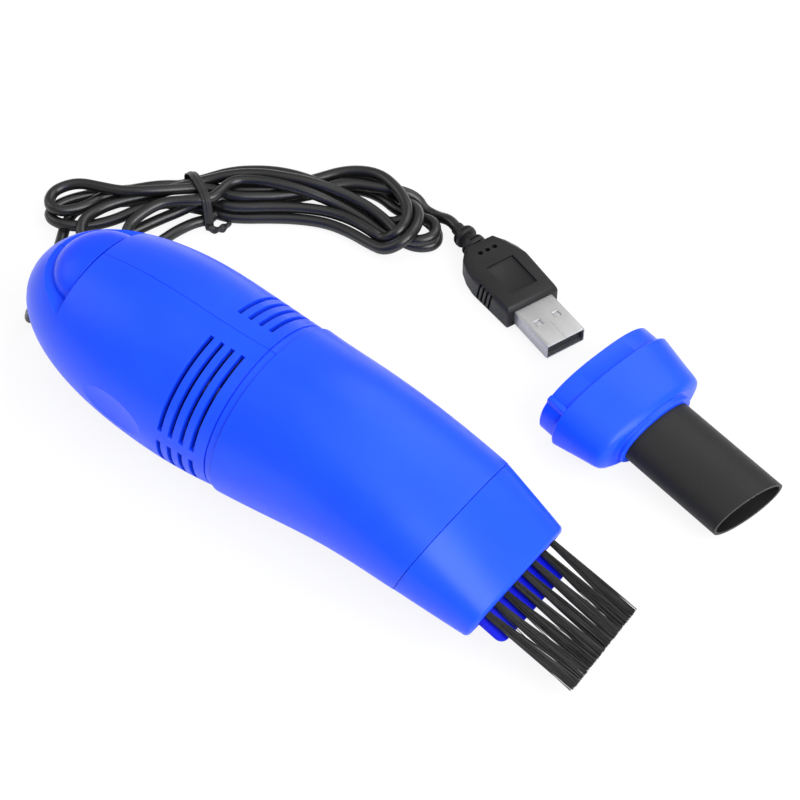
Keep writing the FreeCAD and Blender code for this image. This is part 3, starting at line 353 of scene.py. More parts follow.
def bright_metal(name, colour, deeper, rough=(0.18, 0.3), stretch=(1, 1, 1), texture=900.0):
    """Plated or bare metal with the faint lines of its rolling or turning."""
    finish, nodes, links, shader, place = new_finish(name)
    lines = grain(nodes, links, place, texture, 3.0, stretch)
    links.new(blend_colour(nodes, links, lines, deeper, colour), shader.inputs["Base Color"])
    links.new(spread(nodes, links, lines, *rough), shader.inputs["Roughness"])
    raise_surface(nodes, links, shader, lines, 0.3, 0.000004)
    shader.inputs["Metallic"].default_value = 1.0
    return finish


def woven(name, colour, deeper, threads):
    """Fine filter cloth: crossed threads with a matt, slightly hairy surface."""
    finish, nodes, links, shader, place = new_finish(name)
    cross = nodes.new("ShaderNodeMath")
    cross.operation = "MULTIPLY"
    for thread, axis in enumerate("YZ"):
        wave = nodes.new("ShaderNodeTexWave")
        wave.bands_direction = axis
        wave.inputs["Scale"].default_value = threads
        wave.inputs["Distortion"].default_value = 0.6
        links.new(place, wave.inputs["Vector"])
        links.new(wave.outputs["Fac"], cross.inputs[thread])
    weave = cross.outputs[0]
    links.new(blend_colour(nodes, links, weave, deeper, colour), shader.inputs["Base Color"])
    links.new(spread(nodes, links, weave, 0.8, 0.95), shader.inputs["Roughness"])
    raise_surface(nodes, links, shader, weave, 0.6, 0.0001)
    shader.inputs["Sheen Weight"].default_value = 0.3
    return finish


def grey(value):
    """Neutral colour of a given lightness."""
    return (value, value, value)


BLUE = (0.007, 0.070, 0.95)
BLUE_DEEP = (0.006, 0.063, 0.90)
BLUE_GLOSS = {"shine": 0.27, "tint": (0.8, 0.96, 1.0)}
# One finish for each material slot
FINISHES = {
    "blue_housing": moulded("housing blue", BLUE, BLUE_DEEP, **BLUE_GLOSS),
    "blue_cup": moulded("cup blue", BLUE, BLUE_DEEP, **BLUE_GLOSS),
    "blue_nozzle": moulded("nozzle blue", BLUE, BLUE_DEEP, **BLUE_GLOSS),
    "blue_knob": moulded("knob blue", (0.004, 0.054, 0.90), (0.003, 0.048, 0.85), **BLUE_GLOSS),
    "blue_tongue": moulded("bristle holder blue", (0.001, 0.006, 0.62), (0.001, 0.005, 0.56),
                           (0.5, 0.6), shine=0.12),
    "black_plastic": moulded("black plastic", (0.022, 0.022, 0.024), (0.016, 0.016, 0.018),
                             (0.4, 0.5)),
    "steel_screw": bright_metal("zinc plated screw", (0.62, 0.62, 0.60), (0.50, 0.50, 0.48)),
    "motor_steel": bright_metal("motor can steel", (0.55, 0.56, 0.57), (0.42, 0.43, 0.44),
                                (0.3, 0.42), (1, 12, 12)),
    "magnet": moulded("ferrite", (0.045, 0.044, 0.046), (0.03, 0.03, 0.032), (0.6, 0.75),
                      1400.0, 0.00004),
    "white_nylon": moulded("white nylon", (0.78, 0.77, 0.73), (0.72, 0.71, 0.66), (0.4, 0.5)),
    "copper": bright_metal("tinned copper", (0.80, 0.48, 0.30), (0.62, 0.34, 0.2)),
    "bright_steel": bright_metal("ground shaft", grey(0.72), grey(0.6), (0.12, 0.2), (1, 30, 30)),
    "armature_steel": bright_metal("laminated armature", (0.36, 0.35, 0.34), (0.2, 0.19, 0.18),
                                   (0.35, 0.5), (60, 1, 1)),
    "grey_fan": moulded("fan grey", (0.20, 0.21, 0.22), (0.16, 0.17, 0.18), (0.35, 0.45)),
    "black_rubber": moulded("gland rubber", (0.020, 0.020, 0.021), (0.014, 0.014, 0.015),
                            (0.55, 0.7), 1800.0, 0.00002),
    "red_wire": moulded("red wire sleeve", (0.55, 0.02, 0.015), (0.45, 0.015, 0.012),
                        (0.35, 0.45)),
    "black_wire": moulded("black wire sleeve", (0.02, 0.02, 0.022), (0.014, 0.014, 0.016),
                          (0.35, 0.45)),
    "filter_cloth": woven("filter cloth", (0.78, 0.78, 0.75), (0.55, 0.55, 0.52), 900.0),
    "bristles": moulded("nylon bristles", (0.016, 0.016, 0.0155), grey(0.0008), (0.22, 0.32),
                        3000.0, shine=0.28, stretch=(0.03, 1, 0.03), edge=0, clouds=1800.0),
    "tube_rubber": moulded("soft tube rubber", grey(0.009), grey(0.007), (0.45, 0.55),
                           1600.0, 0.00002),
    "cord_jacket": moulded("lead jacket", (0.009, 0.009, 0.0088), grey(0.006), (0.27, 0.36),
                           1500.0, 0.00002, 0.5),
    "tie_plastic": moulded("twist tie", grey(0.020), grey(0.014), (0.35, 0.5), 1200.0, 0.00003),
    "plug_moulding": moulded("plug moulding", grey(0.0105), grey(0.008), (0.4, 0.52),
                             1700.0, 0.00003),
    "usb_steel": bright_metal("nickel plated shell", grey(0.50), grey(0.43), (0.42, 0.52),
                              (1, 14, 14)),
    "usb_insulator": moulded("plug insulator", (0.035, 0.035, 0.036), (0.025, 0.025, 0.026),
                             (0.4, 0.5)),
    "contact_gold": bright_metal("gilt contacts", (0.93, 0.66, 0.28), (0.80, 0.54, 0.2)),
}


def finish_nodes():
    """Give every carried-over node the finish of its own material slot."""
    for part in frame["record"]["subparts"]:
        node = frame["nodes"][part["node"]]
        node.data.materials.clear()
        node.data.materials.append(FINISHES[part["material_slot"]])


finish_nodes()
cord.data.materials.append(FINISHES["cord_jacket"])


def dress(piece, finish, body, *nodes):
    """Finish a piece, tie it to its body and hide the nodes that it stands for."""
    piece.data.materials.clear()
    piece.data.materials.append(FINISHES[finish])
    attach(piece, body)
    if nodes:
        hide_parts(*nodes)
    return piece


# ---------------------------------------------------------------- modelling

ALONG_X = (0, math.pi / 2, 0)


def put_down():
    """Out of edit mode, with nothing selected."""
    if bpy.context.object and bpy.context.object.mode != "OBJECT":
        bpy.ops.object.mode_set(mode="OBJECT")
    bpy.ops.object.select_all(action="DESELECT")


def hold(*pieces):
    """Select some pieces, the last of which the next step works on."""
    put_down()
    for piece in pieces:
        piece.select_set(True)
    bpy.context.view_layer.objects.active = pieces[-1]


def take_up(piece):
    """Select one piece alone and open it for modelling."""
    hold(piece)
    bpy.ops.object.mode_set(mode="EDIT")


def close_up():
    """Turn all faces of the open piece outwards and put it down."""
    bpy.ops.mesh.select_all(action="SELECT")
    bpy.ops.mesh.normals_make_consistent(inside=False)
    put_down()


def name_it(name):
    """Name what was just added and fix its place, turn and size in its mesh."""
    piece = bpy.context.object
    piece.name = name
    piece.data.name = name
    bpy.ops.object.transform_apply(location=True, rotation=True, scale=True)
    return piece


def block(name, low, high):
    """Block between two corners."""
    put_down()
    middle = (Vector(low) + Vector(high)) / 2 * MM
    bpy.ops.mesh.primitive_cube_add(size=1, location=middle)
    bpy.context.object.scale = (Vector(high) - Vector(low)) * MM
    return name_it(name)


def peg(name, sides, radius, length, place, turn=(0, 0, 0)):
    """Round peg about a place, upright unless it is turned."""
    put_down()
    bpy.ops.mesh.primitive_cylinder_add(vertices=sides, radius=radius * MM, depth=length * MM,
                                        location=[value * MM for value in place], rotation=turn)
    return name_it(name)


def open_disc(name, sides, radius, place):
    """Disc that stands across X at a place, opened for modelling and selected."""
    put_down()
    bpy.ops.mesh.primitive_circle_add(vertices=sides, radius=radius * MM, fill_type="NGON",
                                      location=[value * MM for value in place],
                                      rotation=ALONG_X)
    disc = name_it(name)
    bpy.ops.object.mode_set(mode="EDIT")
    bpy.ops.mesh.select_all(action="SELECT")
    return disc


def new_piece(name, form):
    """Piece from the mesh that code has built up."""
    mesh = bpy.data.meshes.new(name)
    form.to_mesh(mesh)
    form.free()
    piece = bpy.data.objects.new(name, mesh)
    bpy.context.collection.objects.link(piece)
    return piece


def pick(piece, kind, test):
    """Select only the faces, edges or corners whose middle passes the test."""
    bpy.ops.mesh.select_mode(type=kind)
    bpy.ops.mesh.select_all(action="DESELECT")
    mesh = bmesh.from_edit_mesh(piece.data)
    items = {"FACE": mesh.faces, "EDGE": mesh.edges, "VERT": mesh.verts}[kind]
    for item in items:
        if kind == "FACE":
            middle = item.calc_center_median()
        elif kind == "EDGE":
            middle = (item.verts[0].co + item.verts[1].co) / 2
        else:
            middle = item.co
        if test(middle / MM):
            item.select_set(True)
    mesh.select_flush_mode()
    bmesh.update_edit_mesh(piece.data)


def cut_across(x=None, y=None, z=None):
    """Cut the whole open piece with a plane across one axis."""
    bpy.ops.mesh.select_all(action="SELECT")
    for place, normal in ((x, (1, 0, 0)), (y, (0, 1, 0)), (z, (0, 0, 1))):
        if place is not None:
            bpy.ops.mesh.bisect(plane_co=Vector(normal) * place * MM, plane_no=normal)


def pull(step):
    """Extrude what is selected by a step."""
    bpy.ops.mesh.extrude_region_move(TRANSFORM_OT_translate={"value": Vector(step) * MM})


def shift(step):
    """Move what is selected by a step."""
    bpy.ops.transform.translate(value=Vector(step) * MM)


def swell(ratio, centre=(0, 0, 0)):
    """Scale what is selected about a centre."""
    bpy.ops.transform.resize(value=ratio, center_override=Vector(centre) * MM)


def work_in(piece, kind, **settings):
    """Add a modifier with its settings and apply it."""
    put_down()
    bpy.context.view_layer.objects.active = piece
    step = piece.modifiers.new(kind, kind)
    for setting, value in settings.items():
        setattr(step, setting, value)
    bpy.ops.object.modifier_apply(modifier=step.name)


def soften(piece, width, segments=2, angle=30):
    """Round the edges that turn by more than an angle."""
    work_in(piece, "BEVEL", width=width * MM, segments=segments, limit_method="ANGLE",
            angle_limit=math.radians(angle))


def carve(piece, *cutters):
    """Take the cutters' forms out of a piece."""
    for cutter in cutters:
        work_in(piece, "BOOLEAN", operation="DIFFERENCE", solver="EXACT", object=cutter)
        bpy.data.objects.remove(cutter)


def set_down(piece, frame_of, angle=35):
    """Shade a finished piece and carry it from its own frame to where it lies."""
    hold(piece)
    piece.matrix_world = frame_of
    bpy.ops.object.transform_apply(location=True, rotation=True, scale=True)
    bpy.ops.object.shade_smooth_by_angle(angle=math.radians(angle))


def turned_piece(name, rings, sides=40):
    """Round piece along X, drawn out ring by ring from a table of place and radius."""
    start, radius = rings[0]
    piece = open_disc(name, sides, radius, (start, 0, 0))
    for place, wide in rings[1:]:
        pull((place - start, 0, 0))
        swell((1, wide / radius, wide / radius), (place, 0, 0))
        start, radius = place, wide
    close_up()
    return piece


# ---------------------------------------------------------------- bristles

TUFTS = 8
TUFT_ROOT_X = 20.9
TUFT_SOCKET = 2.6
TUFT_LENGTH = 25.5
TUFT_Z = 1.2
TUFT_PITCH = 3.67
TUFT_SHIFT = 1.0
TUFT_RADIUS = 0.74
TUFT_STRANDS = 11
TIP_PITCH = 3.38
TIP_SHIFT = 1.5
TIP_HALF_WIDTH = 1.75
TIP_HALF_HEIGHT = 1.35
# The tufts are cut a little shorter towards one side
TRIM_FIRST = 0.6
TRIM_STEP = 0.1
# How far a strand and a whole tuft may lean aside, as a share of their room and in millimetres
STRAND_LEAN = 0.8
TUFT_LEAN = 0.3
FILAMENT_RADIUS = 0.125
FILAMENT_TAPER = 0.25
FILAMENT_JOINTS = (0.12, 0.3, 0.5, 0.7, 0.87)
FILAMENTS = 90
# One filament in so many strays to a side, and which of them is the first
STRAY_EVERY = 27
FIRST_STRAY = 7


def tuft_y(index):
    """Where a tuft stands across the nozzle."""
    return (index - (TUFTS - 1) / 2) * TUFT_PITCH + TUFT_SHIFT


def model_filament():
    """One straight nylon filament, five-sided and cut into six lengths so that it can bend."""
    long = TUFT_SOCKET + TUFT_LENGTH
    filament = peg("filament", 5, FILAMENT_RADIUS, long, (long / 2, 0, 0), ALONG_X)
    bpy.ops.object.mode_set(mode="EDIT")
    for share in FILAMENT_JOINTS:
        cut_across(x=long * share)
    put_down()
    return filament


def disc_places(count):
    """Evenly packed places in a round hole of radius 1, from the middle outwards."""
    golden = math.pi * (3 - math.sqrt(5))
    return [(math.sqrt((step + 0.5) / count) * math.cos(step * golden),
             math.sqrt((step + 0.5) / count) * math.sin(step * golden)) for step in range(count)]


def make_tuft(index, filament, chance):
    """Filaments packed in a round socket that part into strands and spread to a square tip."""
    long = TUFT_SOCKET + TUFT_LENGTH
    strands = [(chance.uniform(-STRAND_LEAN, STRAND_LEAN),
                chance.uniform(-STRAND_LEAN, STRAND_LEAN)) for _ in range(TUFT_STRANDS)]
    drift = chance.uniform(-TUFT_LEAN, TUFT_LEAN)
    tip_middle = (index - (TUFTS - 1) / 2) * TIP_PITCH + TIP_SHIFT + drift
    trim = TRIM_FIRST + TRIM_STEP * index
    tuft = bmesh.new()
    for step, (across, up) in enumerate(disc_places(FILAMENTS)):
        root = Vector((0, tuft_y(index) + across * TUFT_RADIUS, TUFT_Z + up * TUFT_RADIUS))
        side, rise = strands[step % TUFT_STRANDS]
        # The round socket's places, moved out into a square at the tip
        square = min(math.hypot(across, up) / max(abs(across), abs(up), 0.05), 1.4)
        tip_y = tip_middle + (across * square * 0.9 + side * 0.25) * TIP_HALF_WIDTH
        tip_z = TUFT_Z + (up * square * 0.8 + rise * 0.3) * TIP_HALF_HEIGHT
        if step % STRAY_EVERY == FIRST_STRAY:
            tip_y += chance.choice((-1, 1)) * chance.uniform(0.5, 1.1)
        tip = Vector((long - trim + chance.uniform(-0.4, 0.12), tip_y, tip_z))
        # Each filament bows a little on its way from the socket to the tip
        bow_y, bow_z = chance.uniform(-0.2, 0.2), chance.uniform(-0.25, 0.25)
        first = len(tuft.verts)
        tuft.from_mesh(filament.data)
        tuft.verts.ensure_lookup_table()
        for corner in tuft.verts[first:]:
            share = corner.co.x / MM / long
            leave = 0.35 * share + 0.65 * share * share * (3 - 2 * share)
            bow = math.sin(math.pi * share)
            path = Vector((TUFT_ROOT_X - TUFT_SOCKET + tip.x * share,
                           root.y + (tip.y - root.y) * leave + bow_y * bow,
                           root.z + (tip.z - root.z) * leave + bow_z * bow))
            taper = 1.0 - FILAMENT_TAPER * share
            corner.co = path * MM + Vector((0, corner.co.y, corner.co.z)) * taper
    piece = new_piece("bristles_%d" % (index + 1), tuft)
    set_down(piece, NOSE, 60)
    return piece


def make_bristles():
    """All tufts of the nozzle, each from the same filament."""
    filament = model_filament()
    chance = random.Random(11)
    for index in range(TUFTS):
        tuft = make_tuft(index, filament, chance)
        dress(tuft, "bristles", "nozzle", "bristle_tuft_%d" % (index + 1))
    bpy.data.objects.remove(filament)


make_bristles()

# ---------------------------------------------------------------- bristle holder

# Two opposite corners of the flat block that the holder starts as
HOLDER_LOW = (9.0, -14.7, -2.0)
HOLDER_HIGH = (27.2, 14.7, 0.0)
HOLDER_TIP_X = HOLDER_HIGH[0]
# The thick root ends at the first of these places, and the tongue is narrower from the second
ROOT_END_X = 18.8
TONGUE_START_X = 19.0
ROOT_RISE = 5.4
# How much narrower the tongue is on its left and on its right
TONGUE_TRIM_LEFT = 2.7
TONGUE_TRIM_RIGHT = 1.0
TONGUE_THINNING = 0.8
TONGUE_CORNER = 2.2
TUFT_HOLE_RADIUS = 1.0
TUFT_HOLE_DEPTH = 8
TUFT_HOLE_X = 20.5


def make_holder():
    """Flat tongue with a thick root that fills the nozzle's mouth round the tufts."""
    plate = block("bristle_plate", HOLDER_LOW, HOLDER_HIGH)
    take_up(plate)
    cut_across(x=ROOT_END_X)
    cut_across(x=TONGUE_START_X)
    pick(plate, "FACE", lambda spot: spot.x < ROOT_END_X - 0.1 and spot.z > -0.1)
    pull((0, 0, ROOT_RISE))
    pick(plate, "VERT", lambda spot: spot.z > ROOT_RISE - 0.4)
    swell((1, 0.96, 1))
    pick(plate, "VERT", lambda spot: spot.x > TONGUE_START_X - 0.1 and spot.y > 14)
    shift((0, -TONGUE_TRIM_LEFT, 0))
    pick(plate, "VERT", lambda spot: spot.x > TONGUE_START_X - 0.1 and spot.y < -14)
    shift((0, TONGUE_TRIM_RIGHT, 0))
    pick(plate, "VERT", lambda spot: spot.x > HOLDER_TIP_X - 0.2 and spot.z > -0.1)
    shift((0, 0, -TONGUE_THINNING))
    pick(plate, "EDGE", lambda spot: spot.x > HOLDER_TIP_X - 0.1 and abs(spot.y) > 11.9
         and abs(spot.z + 1.4) < 0.2)
    bpy.ops.mesh.bevel(offset=TONGUE_CORNER * MM, segments=5)
    holes = [peg("tuft_hole", 24, TUFT_HOLE_RADIUS, TUFT_HOLE_DEPTH,
                 (TUFT_HOLE_X, tuft_y(index), TUFT_Z), ALONG_X) for index in range(TUFTS)]
    soften(plate, 0.25, 2)
    carve(plate, *holes)
    set_down(plate, NOSE, 30)
    return dress(plate, "blue_tongue", "nozzle", "bristle_holder")


make_holder()

# ---------------------------------------------------------------- crevice tool's collar

# Rings of the collar from its back edge over the outside to the lip, then back through the inside:
# place along the tool, width, height, squareness of the oval
COLLAR_RINGS = [
    (0.0, 38.3, 20.3, 2.45), (0.2, 38.7, 20.7, 2.45), (5.5, 38.7, 20.7, 2.45),
    (5.6, 38.9, 20.8, 2.45), (5.6, 41.0, 21.5, 2.45), (5.85, 41.4, 21.8, 2.45),
    (9.6, 40.2, 20.5, 2.34), (13.4, 38.9, 19.1, 2.22), (17.2, 37.7, 17.6, 2.14),
    (18.3, 37.2, 17.15, 2.12), (18.95, 36.5, 16.75, 2.12), (19.4, 35.4, 16.3, 2.12),
    (19.9, 33.0, 15.7, 2.12), (20.2, 31.2, 15.3, 2.12), (20.25, 30.4, 14.9, 2.1),
    (20.25, 25.9, 14.5, 2.0), (20.5, 25.3, 14.4, 2.0), (21.55, 25.3, 14.4, 2.0),
    (21.8, 24.8, 13.9, 2.0), (21.8, 22.3, 11.8, 2.0), (14.0, 22.3, 11.8, 2.0),
    (13.98, 21.9, 11.4, 2.0), (5.6, 35.9, 17.9, 2.45), (0.2, 35.9, 17.9, 2.45),
    (0.0, 36.3, 18.3, 2.45),
]
RIB_LOW = (0.05, -17.85, 4.6)
RIB_HIGH = (5.8, -16.55, 7.35)
RIB_SLANT = 0.55


def oval_point(turn, x, width, height, squareness):
    """Point of a squared-off oval that stands across the tool, in metres."""
    across, up = math.cos(turn), math.sin(turn)
    return Vector((x, math.copysign(abs(across) ** (2 / squareness), across) * width / 2,
                   math.copysign(abs(up) ** (2 / squareness), up) * height / 2)) * MM


def make_rib():
    """Alignment rib of the skirt, lower on its outer side."""
    rib = block("rib", RIB_LOW, RIB_HIGH)
    take_up(rib)
    pick(rib, "VERT", lambda spot: spot.z > 7 and spot.y < -17)
    shift((0, 0, -RIB_SLANT))
    soften(rib, 0.15, 2)
    return rib


def make_collar(sides=112):
    """Hollow collar: skirt with its rib, step, tapered shoulder, front face and lip."""
    form = bmesh.new()
    turns = [2 * math.pi * (side + 0.5) / sides for side in range(sides)]
    rings = [[form.verts.new(oval_point(turn, *ring)) for turn in turns] for ring in COLLAR_RINGS]
    for ring, after in zip(rings, rings[1:] + rings[:1]):
        for side in range(sides):
            form.faces.new((ring[side], ring[side - 1], after[side - 1], after[side]))
    bmesh.ops.recalc_face_normals(form, faces=form.faces)
    collar = new_piece("tool_collar", form)
    hold(make_rib(), collar)
    bpy.ops.object.join()
    set_down(collar, CREVICE, 28)
    return dress(collar, "blue_nozzle", "crevice_tool", "crevice_collar")


make_collar()

# ---------------------------------------------------------------- twist tie

TIE = turned(HANK_AT, 55)
# Way of the tie round the hank, seen along the strands: across, then up
TIE_WAY = [(9.3, 0.35), (10.35, 1.3), (10.6, 2.9), (9.6, 4.6), (7.2, 6.5), (4.3, 7.85),
           (1.0, 8.55), (-2.0, 9.3), (-4.7, 9.85), (-6.7, 8.9), (-7.9, 6.7), (-8.8, 4.2),
           (-9.3, 2.2), (-9.2, 1.2)]
# How far along the strands each of those places lies
TIE_LEAN = [-3.0, -2.9, -2.8, -2.6, -2.3, -2.0, -1.8, -1.7, -1.6, -1.6, -1.6, -1.7, -1.8, -1.8]
# Width and thickness of the flat strip, and of the ridge over its wire
STRIP_SIZE = (2.5, 0.45)
WIRE_SIZE = (0.8, 0.85)
TWIST_START = (-3.0, -9.35, 1.5)
TWIST_RADIUS = 0.95
TWIST_STEPS = 16
TWIST_TURN = 32
TWIST_PINCHED_STEPS = 3


def lay_strip(name, width, thick):
    """Flat strip drawn out along the tie's way and given its thickness."""
    put_down()
    bpy.ops.mesh.primitive_plane_add(size=1)
    bpy.context.object.scale = (width * MM, MM, 1)
    strip = name_it(name)
    bpy.ops.object.mode_set(mode="EDIT")
    points = [Vector((lean, across, up)) for lean, (across, up) in zip(TIE_LEAN, TIE_WAY)]
    pick(strip, "VERT", lambda spot: spot.y > 0)
    shift(points[0] - Vector((0, 0.5, 0)))
    pick(strip, "VERT", lambda spot: spot.y < 0)
    shift(points[1] - Vector((0, -0.5, 0)))
    for before, after in zip(points[1:], points[2:]):
        pull(after - before)
    close_up()
    work_in(strip, "SOLIDIFY", thickness=thick * MM, offset=0)
    work_in(strip, "BEVEL", width=0.1 * MM, limit_method="ANGLE")
    work_in(strip, "SUBSURF", levels=2, render_levels=2)
    return strip


def twist_ends():
    """The tie's two ends, twisted together and bent to lie along the hank."""
    stub = open_disc("tie_ends", 12, TWIST_RADIUS, TWIST_START)
    centre = Vector(TWIST_START)
    swell((1, 1.35, 0.75), centre)
    for count in range(TWIST_STEPS):
        # Out from the band at first, then round towards it and level with the floor
        step = Vector((0.46, -0.34 + 0.05 * count, -0.12 + 0.012 * count))
        centre = centre + step
        pull(step)
        bpy.ops.transform.rotate(value=math.radians(TWIST_TURN), orient_axis="X",
                                 center_override=centre * MM)
        if count >= TWIST_STEPS - TWIST_PINCHED_STEPS:
            swell((1, 0.86, 0.86), centre)
    close_up()
    soften(stub, 0.12, 2, 50)
    return stub


def make_tie():
    """Twist tie: plastic strip, the ridge over its wire, and its twisted ends."""
    band = lay_strip("twist_tie", *STRIP_SIZE)
    core = lay_strip("tie_wire", *WIRE_SIZE)
    hold(core, twist_ends(), band)
    bpy.ops.object.join()
    set_down(band, TIE, 45)
    return dress(band, "tie_plastic", "vacuum_body", "cord_tie")


tie = make_tie()

# ---------------------------------------------------------------- plug

PLUG_HALF_WIDTH = 8.1
PLUG_HALF_HEIGHT = 4
PLUG_FRONT_SLANT = 1.0
WAIST_Z = 2.6
# Half widths of the overmould's top, waist and sole at places from its front to its back
PLUG_WAYS = [(0, 7.6, 8.1, 7.5), (-15.3, 8.0, 8.9, 8.2), (-18.8, 6.7, 8.4, 7.4),
             (-22.6, 5.2, 7.0, 5.8), (-PLUG_LENGTH, 4.2, 4.9, 4.2)]
PANEL_LOW = (-16.0, -4.0, 3.2)
PANEL_HIGH = (-4.6, 4.5, 5.0)
SLITS = 4
SLIT_LOW = (-0.38, -0.9, -3.3)
SLIT_HIGH = (0.38, 0.9, 3.4)
SLIT_Y = 8.5
SLIT_LEAN = 1.25
SLIT_BACK_X = -12.0
SLIT_PITCH = 1.6
DIMPLES = 3
DIMPLE_RADIUS = 0.72
DIMPLE_X = -21.2
DIMPLE_PITCH = 2.3
DIMPLE_HEIGHT = 3.0
DIMPLE_Z = 3.9
# Hollow that the metal shell stands in, and the lead's room behind it
SOCKET_LOW = (-9.0, -6.02, -2.27)
SOCKET_HIGH = (1.0, 6.02, 2.27)
THROAT_LOW = (-24.0, -1.0, -1.0)
THROAT_HIGH = (-8.0, 1.0, 1.0)


def make_slit(side, place):
    """Cutter for a grip slit in one flank, which leans back towards its foot."""
    beside = Vector((0, side * SLIT_Y, 0))
    slit = block("slit", Vector(SLIT_LOW) + beside, Vector(SLIT_HIGH) + beside)
    take_up(slit)
    pick(slit, "VERT", lambda spot: spot.z < 0)
    shift((-SLIT_LEAN, 0, 0))
    bpy.ops.mesh.select_all(action="SELECT")
    shift((place, 0, 0))
    soften(slit, 0.2, 2)
    return slit


def make_dimple(y):
    """Cutter for a round dimple in the plug's back."""
    dimple = peg("dimple", 24, DIMPLE_RADIUS, DIMPLE_HEIGHT, (DIMPLE_X, y, DIMPLE_Z))
    soften(dimple, 0.25, 3)
    return dimple


def make_overmould():
    """Overmould: a block drawn in to the back, with a sunk panel, grip slits and dimples."""
    body = block("plug_body", (-PLUG_LENGTH, -PLUG_HALF_WIDTH, -PLUG_HALF_HEIGHT),
                 (0, PLUG_HALF_WIDTH, PLUG_HALF_HEIGHT))
    take_up(body)
    for place, *_ in reversed(PLUG_WAYS[1:-1]):
        cut_across(x=place)
    for height in (-WAIST_Z, WAIST_Z):
        cut_across(z=height)
    for place, top, waist, sole in PLUG_WAYS:
        for low, high, half in ((3, 5, top), (-3, 3, waist), (-5, -3, sole)):
            pick(body, "VERT", lambda spot: abs(spot.x - place) < 0.1 and low < spot.z < high)
            swell((1, half / PLUG_HALF_WIDTH, 1))
    pick(body, "VERT", lambda spot: spot.x > -0.1 and abs(spot.z) > 3)
    shift((-PLUG_FRONT_SLANT, 0, 0))
    soften(body, 0.4, 3, 12)
    panel = block("panel", PANEL_LOW, PANEL_HIGH)
    soften(panel, 0.2, 2)
    slits = [make_slit(side, SLIT_BACK_X + SLIT_PITCH * count)
             for side in (-1, 1) for count in range(SLITS)]
    dimples = [make_dimple((count - 1) * DIMPLE_PITCH) for count in range(DIMPLES)]
    socket = block("socket", SOCKET_LOW, SOCKET_HIGH)
    throat = block("throat", THROAT_LOW, THROAT_HIGH)
    carve(body, panel, *slits, *dimples, throat, socket)
    set_down(body, PLUG, 25)
    return dress(body, "plug_moulding", "vacuum_body", "plug_overmould")


# Rings of the relief from the overmould to its end: place and radius
RELIEF_RINGS = [
    (-24.3, 2.3), (-25.6, 2.2), (-25.75, 2.6), (-25.9, 3.15), (-26.3, 3.45), (-27.2, 3.5),
    (-28.1, 3.42), (-28.5, 3.05), (-28.65, 2.5), (-28.85, 1.95), (-30.15, 1.9), (-30.35, 2.4),
    (-30.5, 2.95), (-30.9, 3.22), (-31.7, 3.3), (-32.5, 3.15), (-32.9, 2.8), (-33.1, 2.3),
    (-33.3, 1.9), (-35.1, 1.85), (-35.5, 1.8), (-35.5, 1.5),
]
NICK_PLACES = (-27.3, -31.7)
NICK_HALF_LENGTH = 1.5
NICK_HALF_WIDTH = 0.3
NICK_DEPTHS = (2.7, 4.3)


def make_relief():
    """Relief behind the overmould: two fat rings with short nicks round them, then a thin neck."""
    relief = turned_piece("plug_sleeve", RELIEF_RINGS)
    nicks = []
    for place in NICK_PLACES:
        back, front = place - NICK_HALF_WIDTH, place + NICK_HALF_WIDTH
        for side in (-1, 1):
            low, high = sorted(side * depth for depth in NICK_DEPTHS)
            nicks.append(block("nick", (back, low, -NICK_HALF_LENGTH),
                               (front, high, NICK_HALF_LENGTH)))
            nicks.append(block("nick", (back, -NICK_HALF_LENGTH, low),
                               (front, NICK_HALF_LENGTH, high)))
    carve(relief, *nicks)
    set_down(relief, PLUG, 35)
    return dress(relief, "plug_moulding", "vacuum_body", "plug_relief")


# The metal shell's faces before the sheet's thickness goes on outside them
SHELL_BACK_X = -9.0
SHELL_FRONT_X = 14.6
SHELL_HALF_WIDTH = 5.75
SHELL_HALF_HEIGHT = 2.0
SHEET_THICKNESS = 0.25
WINDOW_X = (5.2, 7.5)
WINDOW_Y = (1.75, 4.05)
WINDOW_EDGE = 0.08
WINDOW_BEND = 0.05
WINDOW_DEPTH = 0.32
MOUTH_X = 14.15
MOUTH_DRAW = (1, 0.985, 0.96)
# Grooves: the sheet's seam along one side of the top, and the joint along its middle
SEAM_LOW = (0.2, -5.42, 2.17)
SEAM_HIGH = (13.9, -5.34, 2.4)
JOINT_LOW = (7.9, -0.05, 2.19)
JOINT_HIGH = (14.9, 0.05, 2.4)


